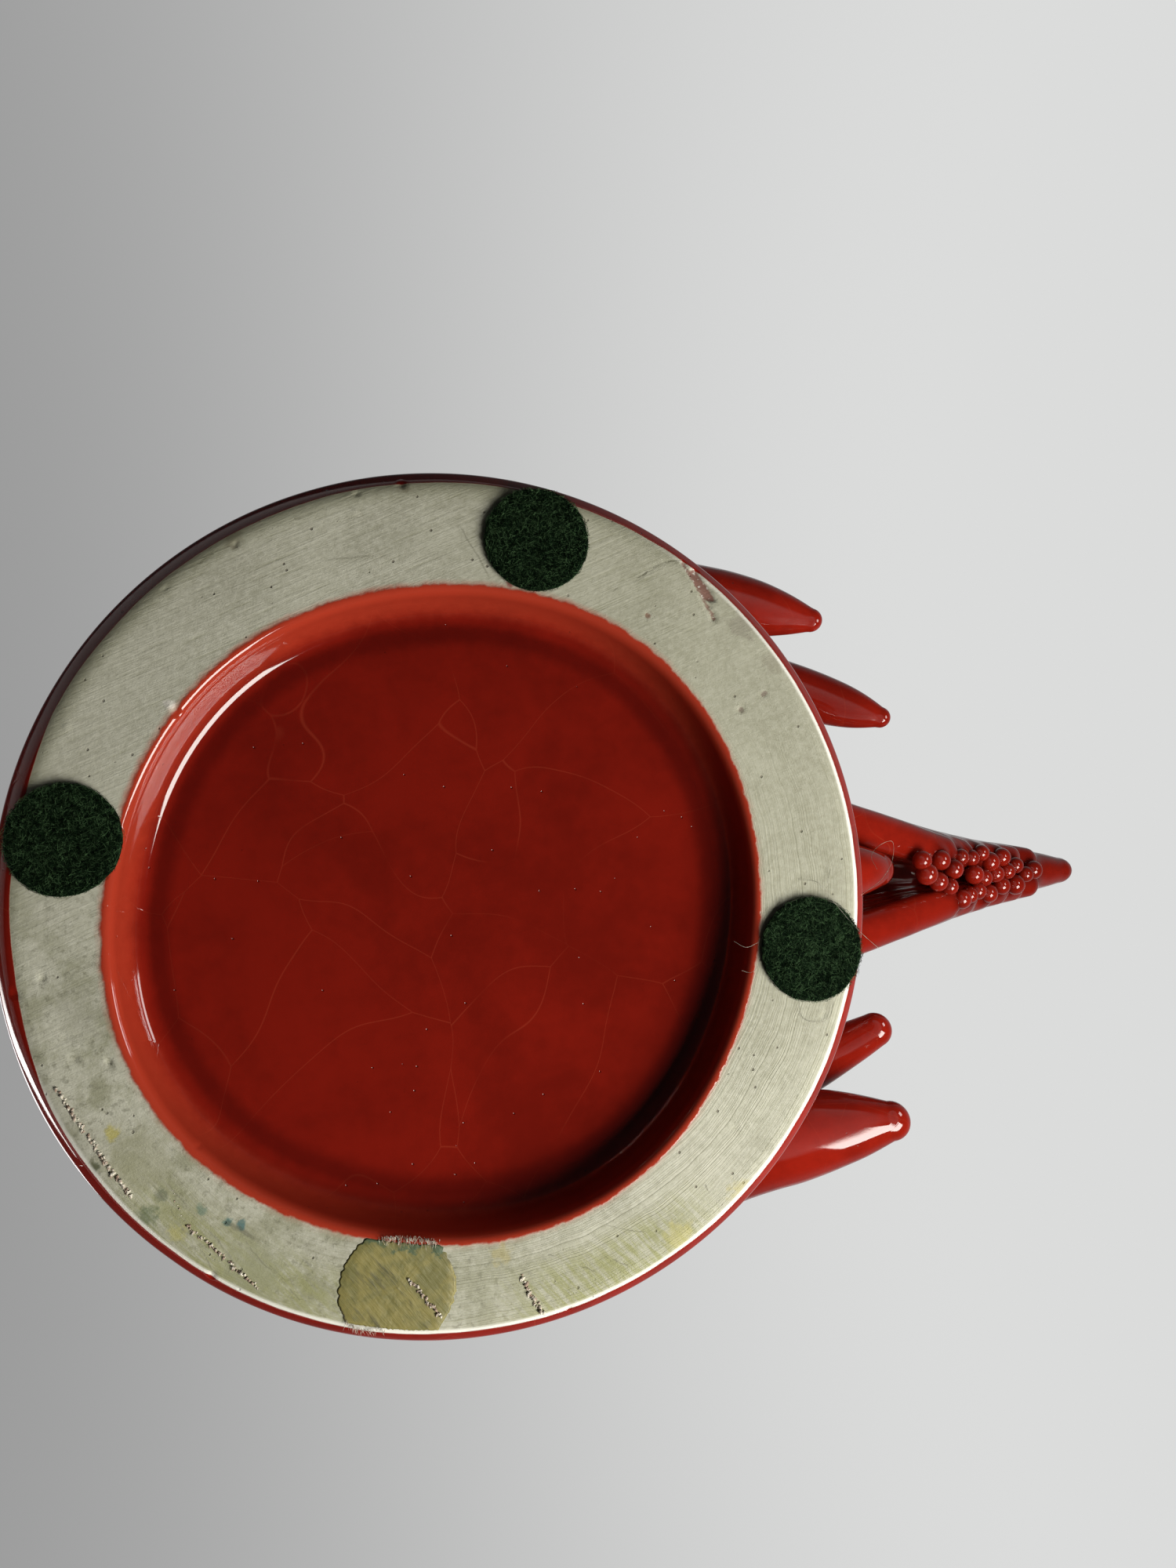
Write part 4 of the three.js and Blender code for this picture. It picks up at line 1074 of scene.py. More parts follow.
def featherTree():
    tree, given = newTree("rolledFeather", [
        ("Root half", "Float"), ("Belly half", "Float"), ("Tip half", "Float"), ("Belly at", "Float"),
        ("Taper", "Float"), ("Flatness", "Float"), ("Facing", "Vector"), ("Rings", "Int"), ("Sides", "Int"),
        ("Tip crowding", "Float"), ("Hand wobble", "Float"), ("Seed", "Int"), ("Glaze", "Material")])
    path = given["Geometry"]
    length = addNode(tree, "GeometryNodeCurveLength", {"Curve": path}).outputs[0]
    rings = addNode(tree, "GeometryNodeResampleCurve", {"Curve": path, "Count": given["Rings"]}).outputs[0]
    factor = addNode(tree, "GeometryNodeSplineParameter").outputs["Factor"]
    crowded = calc(tree, "POWER", minus(tree, 1.0, factor), given["Tip crowding"])
    crowded = minus(tree, 1.0, crowded)
    spot = addNode(tree, "GeometryNodeSampleCurve", {"Curves": path, "Factor": crowded}, mode="FACTOR",
                   use_all_curves=True).outputs["Position"]
    rings = setPosition(tree, rings, Position=spot)

    # Half width: swells from the root to the belly, then tapers to the tip's half ball
    along = times(tree, factor, length)
    capStart = minus(tree, length, given["Tip half"])
    share = calc(tree, "MINIMUM", calc(tree, "DIVIDE", along, capStart), 1.0)
    early = calc(tree, "MINIMUM", calc(tree, "DIVIDE", share, given["Belly at"]), 1.0)
    swell = calc(tree, "SINE", times(tree, early, math.pi / 2))
    rise = mixed(tree, swell, given["Root half"], given["Belly half"])
    left = minus(tree, 1.0, given["Belly at"])
    late = calc(tree, "DIVIDE", minus(tree, share, given["Belly at"]), left)
    late = calc(tree, "POWER", calc(tree, "MAXIMUM", late, 0.0), given["Taper"])
    fall = mixed(tree, late, given["Belly half"], given["Tip half"])
    half = mixed(tree, calc(tree, "LESS_THAN", share, given["Belly at"]), fall, rise)
    over = calc(tree, "DIVIDE", minus(tree, along, capStart), given["Tip half"])
    over = calc(tree, "MAXIMUM", over, 0.0)
    cap = minus(tree, 1.0, times(tree, over, over))
    cap = calc(tree, "SQRT", calc(tree, "MAXIMUM", cap, 0.0))
    half = times(tree, half, cap)

    # The curve's normal looks along the facing, square to the path
    tangent = addNode(tree, "GeometryNodeInputTangent").outputs[0]
    lean = calcVector(tree, "DOT_PRODUCT", given["Facing"], tangent, output="Value")
    square = calcVector(tree, "SUBTRACT", given["Facing"], scaled(tree, tangent, lean))
    rings = addNode(tree, "GeometryNodeSetCurveNormal", {
        "Curve": rings, "Normal": calcVector(tree, "NORMALIZE", square)}, mode="FREE").outputs[0]
    circle = addNode(tree, "GeometryNodeCurvePrimitiveCircle", {
        "Resolution": given["Sides"], "Radius": 1.0}).outputs[0]
    flat = combine(tree, given["Flatness"], 1.0, 1.0)
    section = addNode(tree, "GeometryNodeTransform", {"Geometry": circle, "Scale": flat}).outputs[0]
    roll = sweep(tree, rings, section, Scale=half)

    where = addNode(tree, "GeometryNodeInputPosition").outputs[0]
    push = addNode(tree, "ShaderNodeTexNoise", {
        "Vector": where, "W": given["Seed"], "Scale": 55.0, "Detail": 1.0},
        noise_dimensions="4D").outputs["Fac"]
    push = times(tree, minus(tree, push, 0.5), given["Hand wobble"])
    push = scaled(tree, addNode(tree, "GeometryNodeInputNormal").outputs[0], push)
    roll = setPosition(tree, roll, Offset=push)
    roll = addNode(tree, "GeometryNodeMergeByDistance", {"Geometry": roll, "Distance": 1e-5}).outputs[0]
    endTree(tree, roll, given["Glaze"])
    return tree


rolledFeather = featherTree()


def rollFeather(name, node, path, facing, size):
    rolled["seed"] += 1
    facing = Vector(facing).normalized()
    piece = runTree(curveSource(name, path), name, rolledFeather, {
        "Root half": size["root"] * mm, "Belly half": size["belly"] * mm, "Tip half": size["tip"] * mm,
        "Belly at": size["bellyAt"], "Taper": size["taper"], "Flatness": size["share"],
        "Facing": list(facing), "Rings": size.get("rings", rolled["rings"]),
        "Sides": size.get("sides", rolled["sides"]), "Tip crowding": rolled["tipCrowding"],
        "Hand wobble": size.get("wobble", rolled["handWobble"]) * 2 * mm,
        "Seed": rolled["seed"], "Glaze": redGlaze})
    return keep(piece, "red_glaze", node)


# Neck and head

neck = {
    "path": ((20.0, 0.0, 90.0), (50.0, 0.0, 158.0), (66.0, 0.0, 210.0)),
    "size": {"root": 68.0, "belly": 68.0, "tip": 21.0, "bellyAt": 0.0, "taper": 0.8, "share": 1.0,
             "rings": 80, "sides": 96, "wobble": 0.6},
}
head = {
    "centre": Vector((73.0, 0.0, 222.0)), "length": 58.0, "width": 43.0, "height": 47.0, "cheek": 0.05,
    "brow": 0.035, "browHeight": 0.42, "handWork": 0.012, "trim": 0.03,
}


# How far out the neck's skin is at an angle and a height, found by halving along its spine
def neckReach(angle, height):
    low, high = 0.0, 1.0
    spine = neck["path"]
    for _ in range(24):
        middle = (low + high) / 2
        level = mix(mix(spine[0][2], spine[1][2], middle), mix(spine[1][2], spine[2][2], middle), middle)
        low, high = (middle, high) if level < height else (low, middle)
    centre = mix(mix(spine[0][0], spine[1][0], low), mix(spine[1][0], spine[2][0], low), low)
    radius = mix(neck["size"]["belly"], neck["size"]["tip"], low ** neck["size"]["taper"])
    side = centre * math.sin(math.radians(angle))
    if abs(side) >= radius:
        return 0.0
    return centre * math.cos(math.radians(angle)) + math.sqrt(radius ** 2 - side ** 2)


def ballRings(count, sides, shape):
    rings = [[shape(Vector((0.0, 0.0, -1.0)))]]
    for i in range(1, count):
        turn = math.pi * i / count - math.pi / 2
        rings.append([shape(Vector((math.cos(turn) * math.cos(2 * math.pi * k / sides),
                                    math.cos(turn) * math.sin(2 * math.pi * k / sides), math.sin(turn))))
                      for k in range(sides)])
    rings.append([shape(Vector((0.0, 0.0, 1.0)))])
    return rings


def buildNeckAndHead():
    rollFeather("neck", "neck", bezier(*neck["path"], 40), (0, 1, 0), neck["size"])

    def headShape(ball):
        cheek = head["cheek"] * smooth(abs(ball.y), 0.35, 0.8) * smooth(ball.z, 0.6, -0.3)
        brow = head["brow"] * smooth(abs(ball.y), 0.3, 0.6) * smooth(ball.x, -0.3, 0.4)
        brow *= smooth(abs(ball.z - head["browHeight"]), 0.22, 0.0)
        full = 1 + brow + cheek * smooth(ball.x, -0.6, 0.5) - head["trim"]
        full += head["handWork"] * noise.noise(ball * 2.1)
        return head["centre"] + Vector((ball.x * head["length"] / 2, ball.y * head["width"] / 2,
                                        ball.z * head["height"] / 2)) * full

    keep(meshPiece("head", *skin(ballRings(64, 96, headShape)), redGlaze), "red_glaze", "head")


buildNeckAndHead()

beak = {
    "length": 21.9, "lowerLength": 13.0, "seat": 9.0, "drop": 9.0, "droop": 7.0, "bendAt": 0.45,
    "bendDroop": 0.25, "upperRoot": 10.0, "lowerRoot": 7.0,
    "size": {"tip": 2.4, "bellyAt": 0.0, "taper": 1.0, "share": 0.85, "wobble": 0.1},
}


def buildBeak():
    front = head["centre"].x + head["length"] / 2
    for name, root, length, drop, droop in (
            ("upper", beak["upperRoot"], beak["length"], 0.0, beak["droop"]),
            ("lower", beak["lowerRoot"], beak["lowerLength"], beak["drop"], beak["droop"] / 3)):
        level = head["centre"].z - drop
        path = pathThrough([
            (front - beak["seat"], 0.0, level),
            (front + length * beak["bendAt"], 0.0, level - droop * beak["bendDroop"]),
            (front + length, 0.0, level - droop)])
        size = {**beak["size"], "root": root, "belly": root}
        rollFeather(name + "Beak", name + "_beak", path, (0, 1, 0), size)


buildBeak()

comb = {
    "lobes": (13.0, 19.0, 22.0, 20.0, 15.0), "base": 6.0, "fullness": 1.3, "thickness": 9.6, "lobeSteps": 16,
    "voxel": 0.9, "round": 14,
}


def cubic(a, b, c, d, steps):
    for i in range(1, steps + 1):
        t = i / steps
        yield tuple((1 - t) ** 3 * p + 3 * t * (1 - t) ** 2 * q + 3 * t * t * (1 - t) * r + t ** 3 * s
                    for p, q, r, s in zip(a, b, c, d))


def buildComb():
    lobeWidth = head["length"] / len(comb["lobes"])

    def baseline(at):
        out = min(1.0, abs(2 * at / (head["length"] + lobeWidth)))
        return head["height"] / 2 * math.sqrt(1 - out * out)

    x = head["length"] / 2 - lobeWidth / 3
    outline = [(x, 0.0), (x, baseline(x))]
    for height in comb["lobes"]:
        after = x - lobeWidth
        valley = baseline(after) + comb["base"]
        peak = height * comb["fullness"]
        outline.extend(cubic((x, outline[-1][1]), (x, baseline(x) + peak), (after, valley + peak),
                             (after, valley), comb["lobeSteps"]))
        x = after
    outline.append((x + lobeWidth, 0.0))
    form = bmesh.new()
    half = comb["thickness"] / 2
    corners = [form.verts.new(place(head["centre"] + Vector((x, -half, z)))) for x, z in outline]
    side = form.faces.new(corners)
    grown = bmesh.ops.extrude_face_region(form, geom=[side])["geom"]
    grown = [corner for corner in grown if isinstance(corner, bmesh.types.BMVert)]
    bmesh.ops.translate(form, vec=Vector((0, 2 * half * mm, 0)), verts=grown)
    bmesh.ops.triangulate(form, faces=form.faces)
    bmesh.ops.recalc_face_normals(form, faces=form.faces)
    mesh = bpy.data.meshes.new("combBlank")
    form.to_mesh(mesh)
    form.free()
    mesh.materials.append(redGlaze)
    blank = newObject("combBlank", mesh)
    remesh = blank.modifiers.new("remesh", "REMESH")
    remesh.mode = "VOXEL"
    remesh.voxel_size = comb["voxel"] * mm
    remesh.use_smooth_shade = True
    ease = blank.modifiers.new("round", "SMOOTH")
    ease.factor = 0.5
    ease.iterations = comb["round"]
    keep(plainMesh(blank, "comb"), "red_glaze", "comb")


buildComb()

face = {
    "eyeAzimuth": 71.6, "eyeElevation": 12.4, "eyeSeat": 1.5, "eyeSides": 40,
    # Eye: a bead with a rolled lid round it, as radius and height from the middle of the bead outwards
    "eye": ((0.0, 4.3), (1.0, 4.15), (1.9, 3.6), (2.5, 2.8), (2.75, 2.25), (3.0, 2.5), (3.35, 2.75),
            (3.75, 2.6), (4.1, 2.05), (4.3, 1.2), (4.3, -1.5), (0.0, -2.5)),
    "wattleLength": 30.0, "wattleWidth": 17.0, "wattleThickness": 10.0, "wattleSpread": 8.5,
    "wattleLead": 19.3, "wattleSeat": 4.0, "wattleTop": 0.72, "wattleWave": 0.5,
}


def buildFace():
    elevation = math.radians(face["eyeElevation"])
    aim = polar(math.cos(elevation), face["eyeAzimuth"], math.sin(elevation))
    halves = Vector((head["length"], head["width"], head["height"])) / 2
    spot = aim * (halves - Vector((face["eyeSeat"],) * 3))
    ahead = 2 * face["wattleLead"] / head["length"]
    under = head["height"] / 2 * math.sqrt(1 - ahead * ahead)
    hang = head["centre"].z - under + face["wattleSeat"] - face["wattleLength"] / 2
    for side, sign in (("left", 1), ("right", -1)):
        axis = Vector((aim.x, sign * aim.y, aim.z))
        turn = axis.to_track_quat("Z", "Y").to_matrix()
        centre = head["centre"] + Vector((spot.x, sign * spot.y, spot.z))
        rings = []
        for radius, height in face["eye"]:
            count = 1 if radius == 0 else face["eyeSides"]
            rings.append([centre + turn @ point for point in ringPoints(radius, height, count)])
        keep(meshPiece("eye" + side.capitalize(), *skin(rings), redGlaze), "red_glaze", "eye_" + side)

        def wattleShape(ball):
            full = mix(face["wattleTop"], 1.0, smooth(ball.z, 0.9, -0.6))
            wave = face["wattleWave"] * noise.noise(ball * 1.7)
            lead = head["centre"].x + face["wattleLead"] + wave
            return Vector((lead + ball.x * face["wattleWidth"] / 2 * full,
                           sign * (face["wattleSpread"] + ball.y * face["wattleThickness"] / 2 * full),
                           hang + ball.z * face["wattleLength"] / 2))

        rings = ballRings(40, 48, wattleShape)
        keep(meshPiece("wattle" + side.capitalize(), *skin(rings), redGlaze), "red_glaze", "wattle_" + side)


buildFace()
print("neck and head built")

hackle = {
    "count": 7, "fan": 81.0, "rootFan": 46.0, "rootHeight": 184.0, "tipHeight": 87.0, "lift": 2.6,
    "tipLift": 9.0, "sideTipLift": 1.5, "bends": (0.3, 0.65),
    "size": {"root": 6.5, "belly": 11.5, "tip": 4.6, "bellyAt": 0.5, "taper": 1.8, "share": 0.55},
}


def buildHackle():
    for i in range(hackle["count"]):
        spread = i / (hackle["count"] - 1) - 0.5

        def along(share, lift):
            angle = spread * mix(hackle["rootFan"], hackle["fan"], share)
            height = mix(hackle["rootHeight"], hackle["tipHeight"], share)
            return polar(max(bodyRadius(angle, height), neckReach(angle, height)) + lift, angle, height)

        tipLift = mix(hackle["tipLift"], hackle["sideTipLift"], abs(spread) * 2)
        bends = [along(share, hackle["lift"]) for share in hackle["bends"]]
        facing = polar(1.0, spread * hackle["fan"], 0.0)
        rollFeather(f"hackleFeather{i + 1}", f"hackle_feather_{i + 1}",
                    pathThrough([along(0, 0), *bends, along(1, tipLift)]), facing, hackle["size"])


buildHackle()

wings = {
    "angles": (44.0, 84.0, 124.0), "heights": (122.0, 116.0, 104.0), "lifts": (-5.0, 0.5, 0.5), "lean": 20.0,
    "slab": {"root": 15.0, "belly": 29.0, "tip": 9.0, "bellyAt": 0.42, "taper": 1.7, "share": 0.285,
             "rings": 96, "sides": 72, "wobble": 0.35},
    "feather": {"root": 8.0, "share": 0.86},
    "rootAngle": 100.0, "sideAngle": 120.0, "seat": 2.5, "rises": (34.0, 23.0, 10.0),
    "steepness": (1.0, 1.0, 0.5, 0.25),
    # Lower feathers of each side and the upper ones of both: height, angle and lift at the bend, then at
    # the tip, half width of belly and tip, the belly's place, taper
    "left": ((83.5, 132.0, 1.1, 146.9, 20.0, 8.7, 3.3, 0.71, 2.0),
             (95.5, 151.2, 8.1, 161.7, 27.0, 7.4, 3.0, 0.76, 2.8)),
    "right": ((81.5, 140.5, 6.7, 151.4, 32.4, 12.2, 5.2, 0.72, 1.75),
              (95.5, 151.4, 9.7, 160.9, 22.0, 9.0, 4.9, 0.32, 3.0)),
    "upper": ((109.0, 144.0, 2.0, 157.0, 10.0, 9.2, 3.1, 0.35, 2.8),
              (123.0, 140.0, 1.0, 153.0, 6.0, 9.2, 3.1, 0.35, 2.8)),
}


def buildWings():
    for side, sign in (("left", 1), ("right", -1)):
        spots = zip(wings["angles"], wings["heights"], wings["lifts"])
        facing = polar(1.0, sign * wings["angles"][1], math.tan(math.radians(wings["lean"])))
        path = pathThrough([onBody(sign * angle, height, lift) for angle, height, lift in spots])
        rollFeather("wing" + side.capitalize(), "wing_" + side, path, facing, wings["slab"])
        for i, row in enumerate(wings[side] + wings["upper"], 1):
            height, bendAngle, bendLift, tipAngle, tipLift, *rolls = row
            rootRise, sideRise, bendRise = (rise * wings["steepness"][i - 1] for rise in wings["rises"])
            path = pathThrough([
                onBody(sign * wings["rootAngle"], height + rootRise, -wings["seat"]),
                onBody(sign * wings["sideAngle"], height + sideRise, -wings["seat"]),
                onBody(sign * bendAngle, height + bendRise, bendLift),
                onBody(sign * tipAngle, height, tipLift)])
            size = dict(zip(("belly", "tip", "bellyAt", "taper"), rolls))
            rollFeather(f"wingFeather{side.capitalize()}{i}", f"wing_feather_{side}_{i}", path, up,
                        {**wings["feather"], **size})


buildWings()
print("hackle and wings built")

tail = {
    "plume": {"root": 11.0, "belly": 14.5, "tip": 5.4, "bellyAt": 0.6, "taper": 2.0, "sides": 36},
    "plumeSeat": 40.0,
    # Plumes from the lowest up: root height, tip reach and height, arch, flatness
    "plumes": ((127.0, 212.0, 151.0, 4.0, 0.82), (136.0, 205.0, 178.0, 0.0, 0.6),
               (142.0, 189.0, 202.0, -5.0, 0.55), (146.0, 165.0, 220.0, -9.0, 0.55)),
    "sway": -3.6, "rootSway": -1.5, "count": 6, "seat": 18.0, "steps": 24,
    # Root height and spread, tip reach, height, spread and half width
    "lowest": (90.0, 22.5, 152.0, 115.5, 6.4, 4.4), "highest": (126.0, 15.0, 194.0, 141.5, 3.9, 3.6),
    "feather": {"root": 4.6, "belly": 5.4, "bellyAt": 0.5, "taper": 1.6, "share": 0.68},
    "rump": {"root": 8.5, "belly": 8.5, "tip": 5.0, "bellyAt": 0.5, "taper": 1.6, "share": 1.0},
    "rumpHeight": 91.0, "rumpRise": 8.0, "rumpLift": 18.0,
}


def buildTail():
    for i, (rootHeight, reach, tipHeight, arch, share) in enumerate(tail["plumes"]):
        root = onBody(180.0, rootHeight, -tail["plumeSeat"])
        tip = Vector((-reach, tail["sway"], tipHeight))
        middle = root.lerp(tip, 0.5) + Vector((0, 0, arch))
        name = f"tailPlume{i}" if i else "tailPlumeLowest"
        node = f"tail_plume_{i}" if i else "tail_feather_top"
        path = pathThrough([root, middle, tip])
        rollFeather(name, node, path, (0, 1, 0), {**tail["plume"], "share": share})
    for side, sign in (("left", 1), ("right", -1)):
        for i in range(tail["count"]):
            share = i / (tail["count"] - 1)
            rootHeight, rootSpread, tipReach, tipHeight, tipSpread, tipHalf = (
                mix(low, high, share) for low, high in zip(tail["lowest"], tail["highest"]))
            root = onBody(180.0, rootHeight, -tail["seat"])
            root.y = tail["rootSway"] + sign * rootSpread
            tip = Vector((-tipReach, tail["sway"] + sign * tipSpread, tipHeight))
            path = [root.lerp(tip, k / tail["steps"]) for k in range(tail["steps"] + 1)]
            rollFeather(f"tailFeather{side.capitalize()}{i + 1}", f"tail_feather_{side}_{i + 1}", path, up,
                        {**tail["feather"], "tip": tipHalf})
    rise = tail["rumpRise"]
    path = pathThrough([onBody(180.0, tail["rumpHeight"], -tail["seat"]),
                        onBody(180.0, tail["rumpHeight"] + rise / 2, tail["rumpLift"] / 2),
                        onBody(180.0, tail["rumpHeight"] + rise, tail["rumpLift"])])
    rollFeather("rumpFeather", "rump_feather", path, up, tail["rump"])


buildTail()

# Clay beads crowded along the underside of the tail, and a few by its root
knobs = {
    "size": 2.9, "seed": 4,
    "tail": ((-150, -1, 111.2), (-159, 2, 117.2), (-168, 0.5, 122.8), (-181, -1, 130.8), (-159.5, -3, 117.0),
             (-148, -6, 110.2), (-157, -9, 115.8), (-166, -9, 121.2), (-180, -7, 130.2), (-153, -10, 113.2),
             (-173, -7, 125.8), (-164, -4.2, 119.6), (-170, -3.2, 123.4), (-176, -2.6, 127.0),
             (-186, -4, 133.8), (-154, 2.4, 114.0), (-164, 3.4, 120.4), (-174, 1.8, 126.4),
             (-190.5, -2.8, 136.8), (-161, -8, 118.2)),
    "root": ((-137, 2, 104.2), (-138.5, -2, 104.8), (-143.5, -4.4, 108.0), (-145, 1.8, 109.0)),
}


def knobTree():
    tree, given = newTree("tailKnobs", [("Knob size", "Float"), ("Seed", "Int"), ("Glaze", "Material")])
    spots = addNode(tree, "GeometryNodeCurveToPoints", {
        "Curve": given["Geometry"]}, mode="EVALUATED").outputs["Points"]
    bead = addNode(tree, "GeometryNodeMeshIcoSphere", {
        "Radius": given["Knob size"], "Subdivisions": 4}).outputs["Mesh"]
    grow = randomValue(tree, "FLOAT", 0.85, 1.12, given["Seed"])
    beads = addNode(tree, "GeometryNodeInstanceOnPoints", {
        "Points": spots, "Instance": bead, "Scale": grow}).outputs[0]
    endTree(tree, beads, given["Glaze"])
    return tree


def buildKnobs():
    tree = knobTree()
    for where, offset in (("tail", 0), ("root", 1)):
        name = where + "Knobs"
        keep(runTree(curveSource(name, knobs[where]), name, tree, {
            "Knob size": knobs["size"] * mm, "Seed": knobs["seed"] + offset, "Glaze": redGlaze}), "red_glaze")


buildKnobs()
print("tail built")

# Slip and glaze fill the creases where glazed pieces meet

crease = {"reach": 4.2, "fill": 1.0}


def fillCreases():
    glazed = [(piece, crease["fill"] * mm if nodes else 0.0) for piece, slot, nodes in pieces.values()
              if slot == "red_glaze" and "base_dish" not in nodes]
    reach = crease["reach"] * mm
    skins = []
    for piece, fill in glazed:
        mesh = piece.data
        spots = np.empty(len(mesh.vertices) * 3)
        mesh.vertices.foreach_get("co", spots)
        spots = spots.reshape(-1, 3)
        normals = np.empty(len(mesh.vertices) * 3)
        mesh.vertex_normals.foreach_get("vector", normals)
        faces = [polygon.vertices[:] for polygon in mesh.polygons]
        skins.append({
            "piece": piece, "fill": fill, "spots": spots, "normals": normals.reshape(-1, 3),
            "tree": BVHTree.FromPolygons([Vector(spot) for spot in spots], faces),
            "low": spots.min(axis=0) - reach, "high": spots.max(axis=0) + reach})
    for own in skins:
        piece, spots = own["piece"], own["spots"]
        near = np.zeros(len(spots))
        for other in skins:
            apart = (other["low"] > own["high"]).any() or (other["high"] < own["low"]).any()
            if other is own or apart:
                continue
            within = ((spots > other["low"]) & (spots < other["high"])).all(axis=1)
            for index in np.nonzero(within)[0]:
                distance = other["tree"].find_nearest(Vector(spots[index]), reach)[3]
                if distance is not None:
                    near[index] = max(near[index], 1 - distance / reach)
        moved = spots + own["normals"] * (near ** 2 * own["fill"])[:, None]
        piece.data.vertices.foreach_set("co", moved.ravel())
        storeValues(piece, "pool", near ** 2)
        piece.data.update()


fillCreases()
print("creases filled")

for piece, slot, nodes in pieces.values():
    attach(piece, "root")
    if nodes:
        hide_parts(*nodes)
counts = [sum(len(polygon.vertices) - 2 for polygon in piece.data.polygons)
          for piece, slot, nodes in pieces.values()]
print("pieces:", len(pieces), "triangles:", sum(counts), "most in one:", max(counts))

# Camera under the foot, as the photograph was taken, from the middle of the ring's underside

camera = {
    "place": (5.85, 4.11, -196.59), "right": (-0.9879, -0.04, -0.15), "up": (-0.0282, 0.9964, -0.08),
    "back": (0.1527, -0.0748, -0.9854), "lens": 25.2, "sensor": 36.0, "nearest": 5.0,
}


def buildCamera():
    data = bpy.data.cameras.new("camera")
    data.lens = camera["lens"]
    data.sensor_width = camera["sensor"]
    data.sensor_fit = "AUTO"
    data.clip_start = camera["nearest"] * mm
    eye = newObject("camera", data)
    spot = place(camera["place"]) + up * foot["ringHeight"] * mm
    turn = Matrix((camera["right"], camera["up"], camera["back"])).transposed()
    eye.matrix_world = Matrix.Translation(spot) @ turn.to_4x4()
    bpy.context.scene.camera = eye


buildCamera()

# Soft lamps: where each stands and what it looks at in millimetres from the foot, its width (and its height,
# where it isn't square), power in watts, colour, whether it is mirrored in the glaze, spread in degrees
lamps = {
    "windowLamp": {"place": (-228, -190, -228), "target": (0, 0, 10), "size": 205, "power": 2.45,
                   "colour": (1, 0.99, 0.94), "mirrored": True},
    "tailLamp": {"place": (-250, 42, -35), "target": (0, 0, 10), "size": 64, "power": 0.13,
                 "colour": (1, 0.99, 0.97), "mirrored": True},
    "breastLamp": {"place": (620, -245, 60), "target": (0, 0, 20), "size": 300, "height": 46, "power": 0.04,
                   "colour": (1, 0.97, 0.93), "mirrored": True, "spread": 40.0},
    "topLamp": {"place": (80, 60, 1500), "target": (0, 0, 120), "size": 800, "power": 11.0,
                "colour": (1, 0.99, 0.97), "mirrored": True},
    "frontLamp": {"place": (1500, -585, 1100), "target": (0, 0, 120), "size": 1000, "power": 16.0,
                  "colour": (1, 1, 1), "mirrored": True},
    "rearLamp": {"place": (-1300, -300, 1300), "target": (0, 0, 120), "size": 1000, "power": 12.0,
                 "colour": (1, 1, 1), "mirrored": False},
}


def buildLamps():
    for name, lamp in lamps.items():
        data = bpy.data.lights.new(name, "AREA")
        data.shape = "RECTANGLE"
        data.size = lamp["size"] * mm
        data.size_y = lamp.get("height", lamp["size"]) * mm
        data.energy = lamp["power"]
        data.spread = math.radians(lamp.get("spread", 180.0))
        data.color = lamp["colour"]
        light = newObject(name, data)
        spot = place(lamp["place"])
        light.location = spot
        light.visible_camera = False
        light.visible_glossy = lamp["mirrored"]
        light.rotation_euler = (place(lamp["target"]) - spot).to_track_quat("-Z", "Y").to_euler()


buildLamps()

# The room: how bright it is above, below and at the horizon towards the tail and the breast, and what
# the camera sees of it
room = {
    "above": (0.55, 0.55, 0.55, 1), "below": (0.025, 0.025, 0.025, 1), "horizon": 0.5, "horizonAhead": 0.06,
    "seenPale": (0.71, 0.715, 0.71, 1), "seenShaded": (0.31, 0.31, 0.31, 1),
}


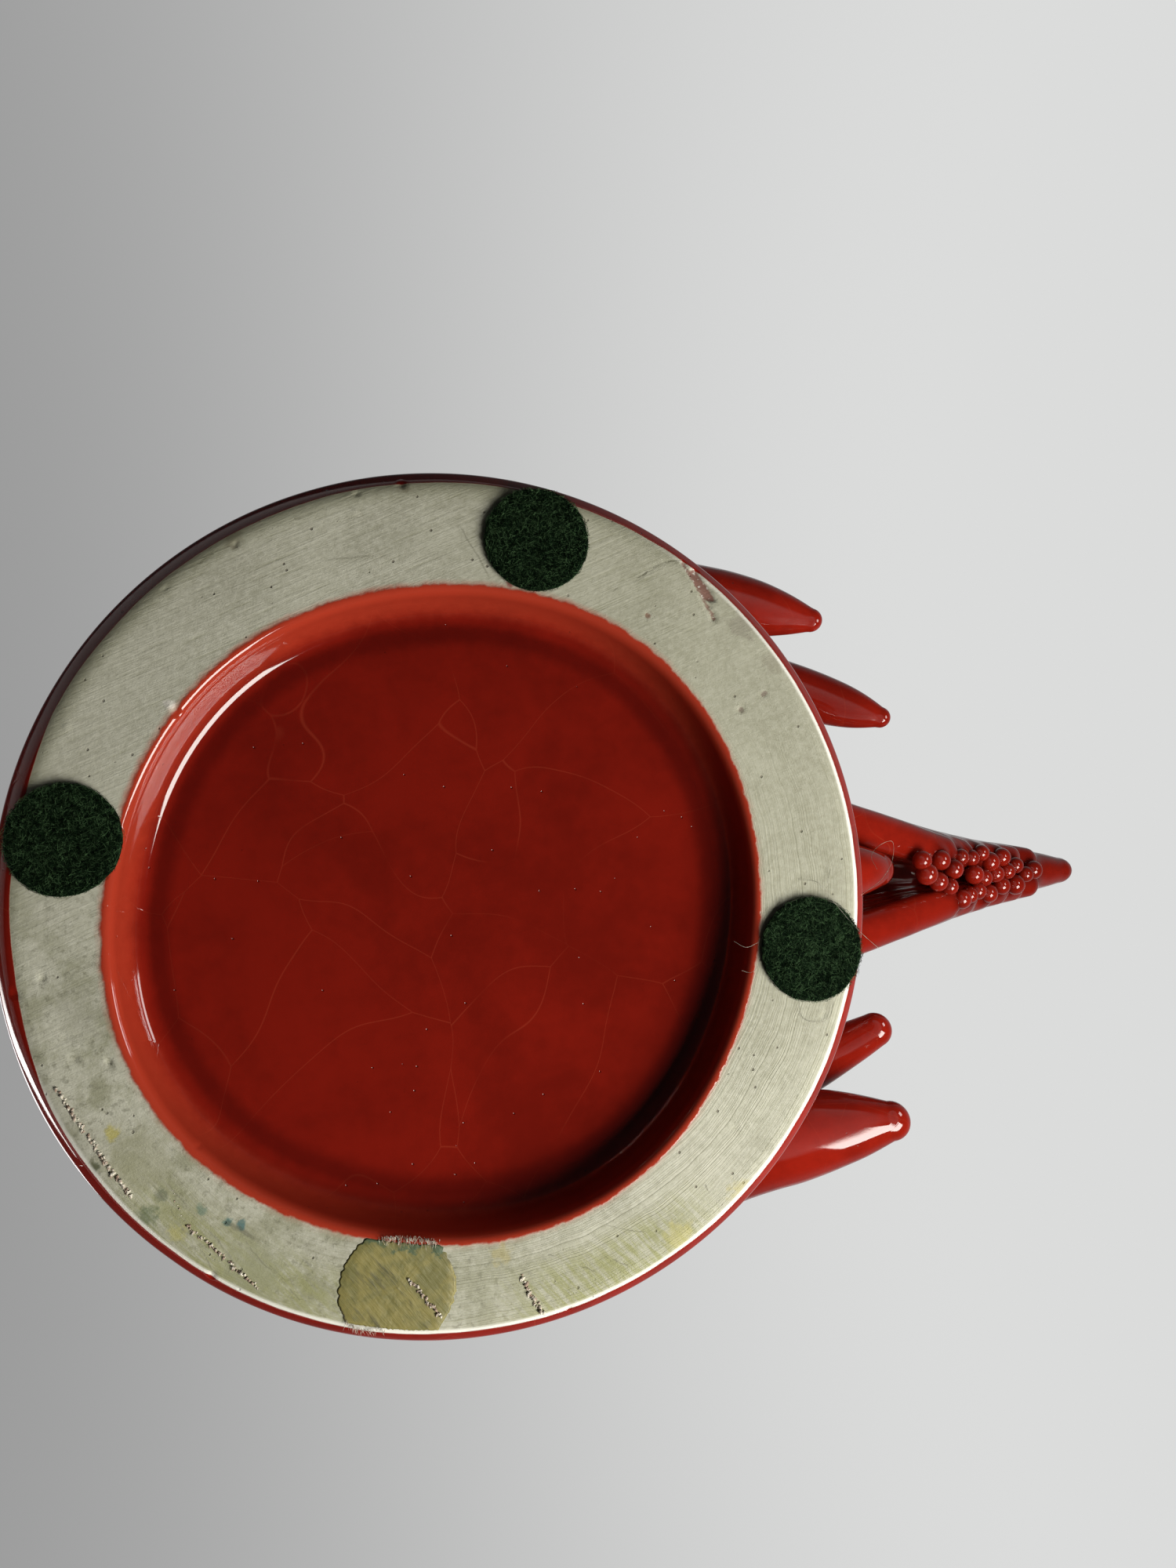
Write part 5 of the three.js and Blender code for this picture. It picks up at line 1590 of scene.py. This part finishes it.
def buildRoom():
    world = bpy.data.worlds.new("room")
    world.use_nodes = True
    bpy.context.scene.world = world
    tree = world.node_tree
    sky = tree.nodes["Background"]
    aim = addNode(tree, "ShaderNodeTexCoord").outputs["Generated"]
    parts = separate(tree, aim)
    glow = ramp(tree, parts["X"], -0.8, 0.3, room["horizon"], room["horizonAhead"])
    horizon = times(tree, ramp(tree, parts["Z"], -0.35, 0.35), glow)
    dimmed = ramp(tree, parts["X"], 0.0, 0.6, 1.0, 0.3)
    overhead = times(tree, ramp(tree, parts["Z"], 0.25, 0.8), dimmed)
    level = calc(tree, "MAXIMUM", horizon, overhead)
    light = tint(tree, level, room["below"], room["above"])
    away = times(tree, ramp(tree, parts["X"], -0.45, 0.45), ramp(tree, parts["Z"], 0.2, 0.6))
    seen = tint(tree, away, room["seenPale"], room["seenShaded"])
    rays = addNode(tree, "ShaderNodeLightPath").outputs
    tree.links.new(tint(tree, rays["Is Camera Ray"], light, seen), sky.inputs["Color"])


buildRoom()

# The floor: what the camera sees fades into the room between two radii, and a ring by the foot, which fades
# in and out between four, throws light back and is mirrored
ground = {
    "radius": 1000.0, "segments": 96, "colour": (0.60, 0.595, 0.585, 1), "roughness": 0.9,
    "seen": (420.0, 980.0), "ring": (80.0, 84.0, 145.0, 172.0),
}


def buildFloor():
    mesh = bpy.data.meshes.new("floor")
    rim = [place(point) for point in ringPoints(ground["radius"], 0.0, ground["segments"])]
    mesh.from_pydata(rim, [], [tuple(range(len(rim)))])
    floor = newObject("floor", mesh)
    material, tree, shader = newMaterial("paleFloor")
    shader.inputs["Base Color"].default_value = ground["colour"]
    shader.inputs["Roughness"].default_value = ground["roughness"]
    radius = calcVector(tree, "LENGTH", objectSpot(tree), output="Value")
    rays = addNode(tree, "ShaderNodeLightPath").outputs
    seen = times(tree, ramp(tree, radius, *ground["seen"], 1.0, 0.0), rays["Is Camera Ray"])
    inner, innerFull, outerFull, outer = ground["ring"]
    ring = ramp(tree, radius, inner, innerFull)
    ring = times(tree, ring, ramp(tree, radius, outerFull, outer, 1.0, 0.0))
    # Seen from underneath it is clear, so that the foot shows
    above = minus(tree, 1.0, addNode(tree, "ShaderNodeNewGeometry").outputs["Backfacing"])
    solid = times(tree, calc(tree, "MAXIMUM", seen, ring), above)
    clear = addNode(tree, "ShaderNodeBsdfTransparent").outputs[0]
    either = addNode(tree, "ShaderNodeMixShader", {0: solid, 1: clear, 2: shader.outputs[0]})
    tree.links.new(either.outputs[0], tree.nodes["Material Output"].inputs["Surface"])
    mesh.materials.append(material)
    floor.visible_shadow = False


buildFloor()
bpy.context.scene.view_settings.view_transform = "Standard"
print("camera, lamps and floor set")
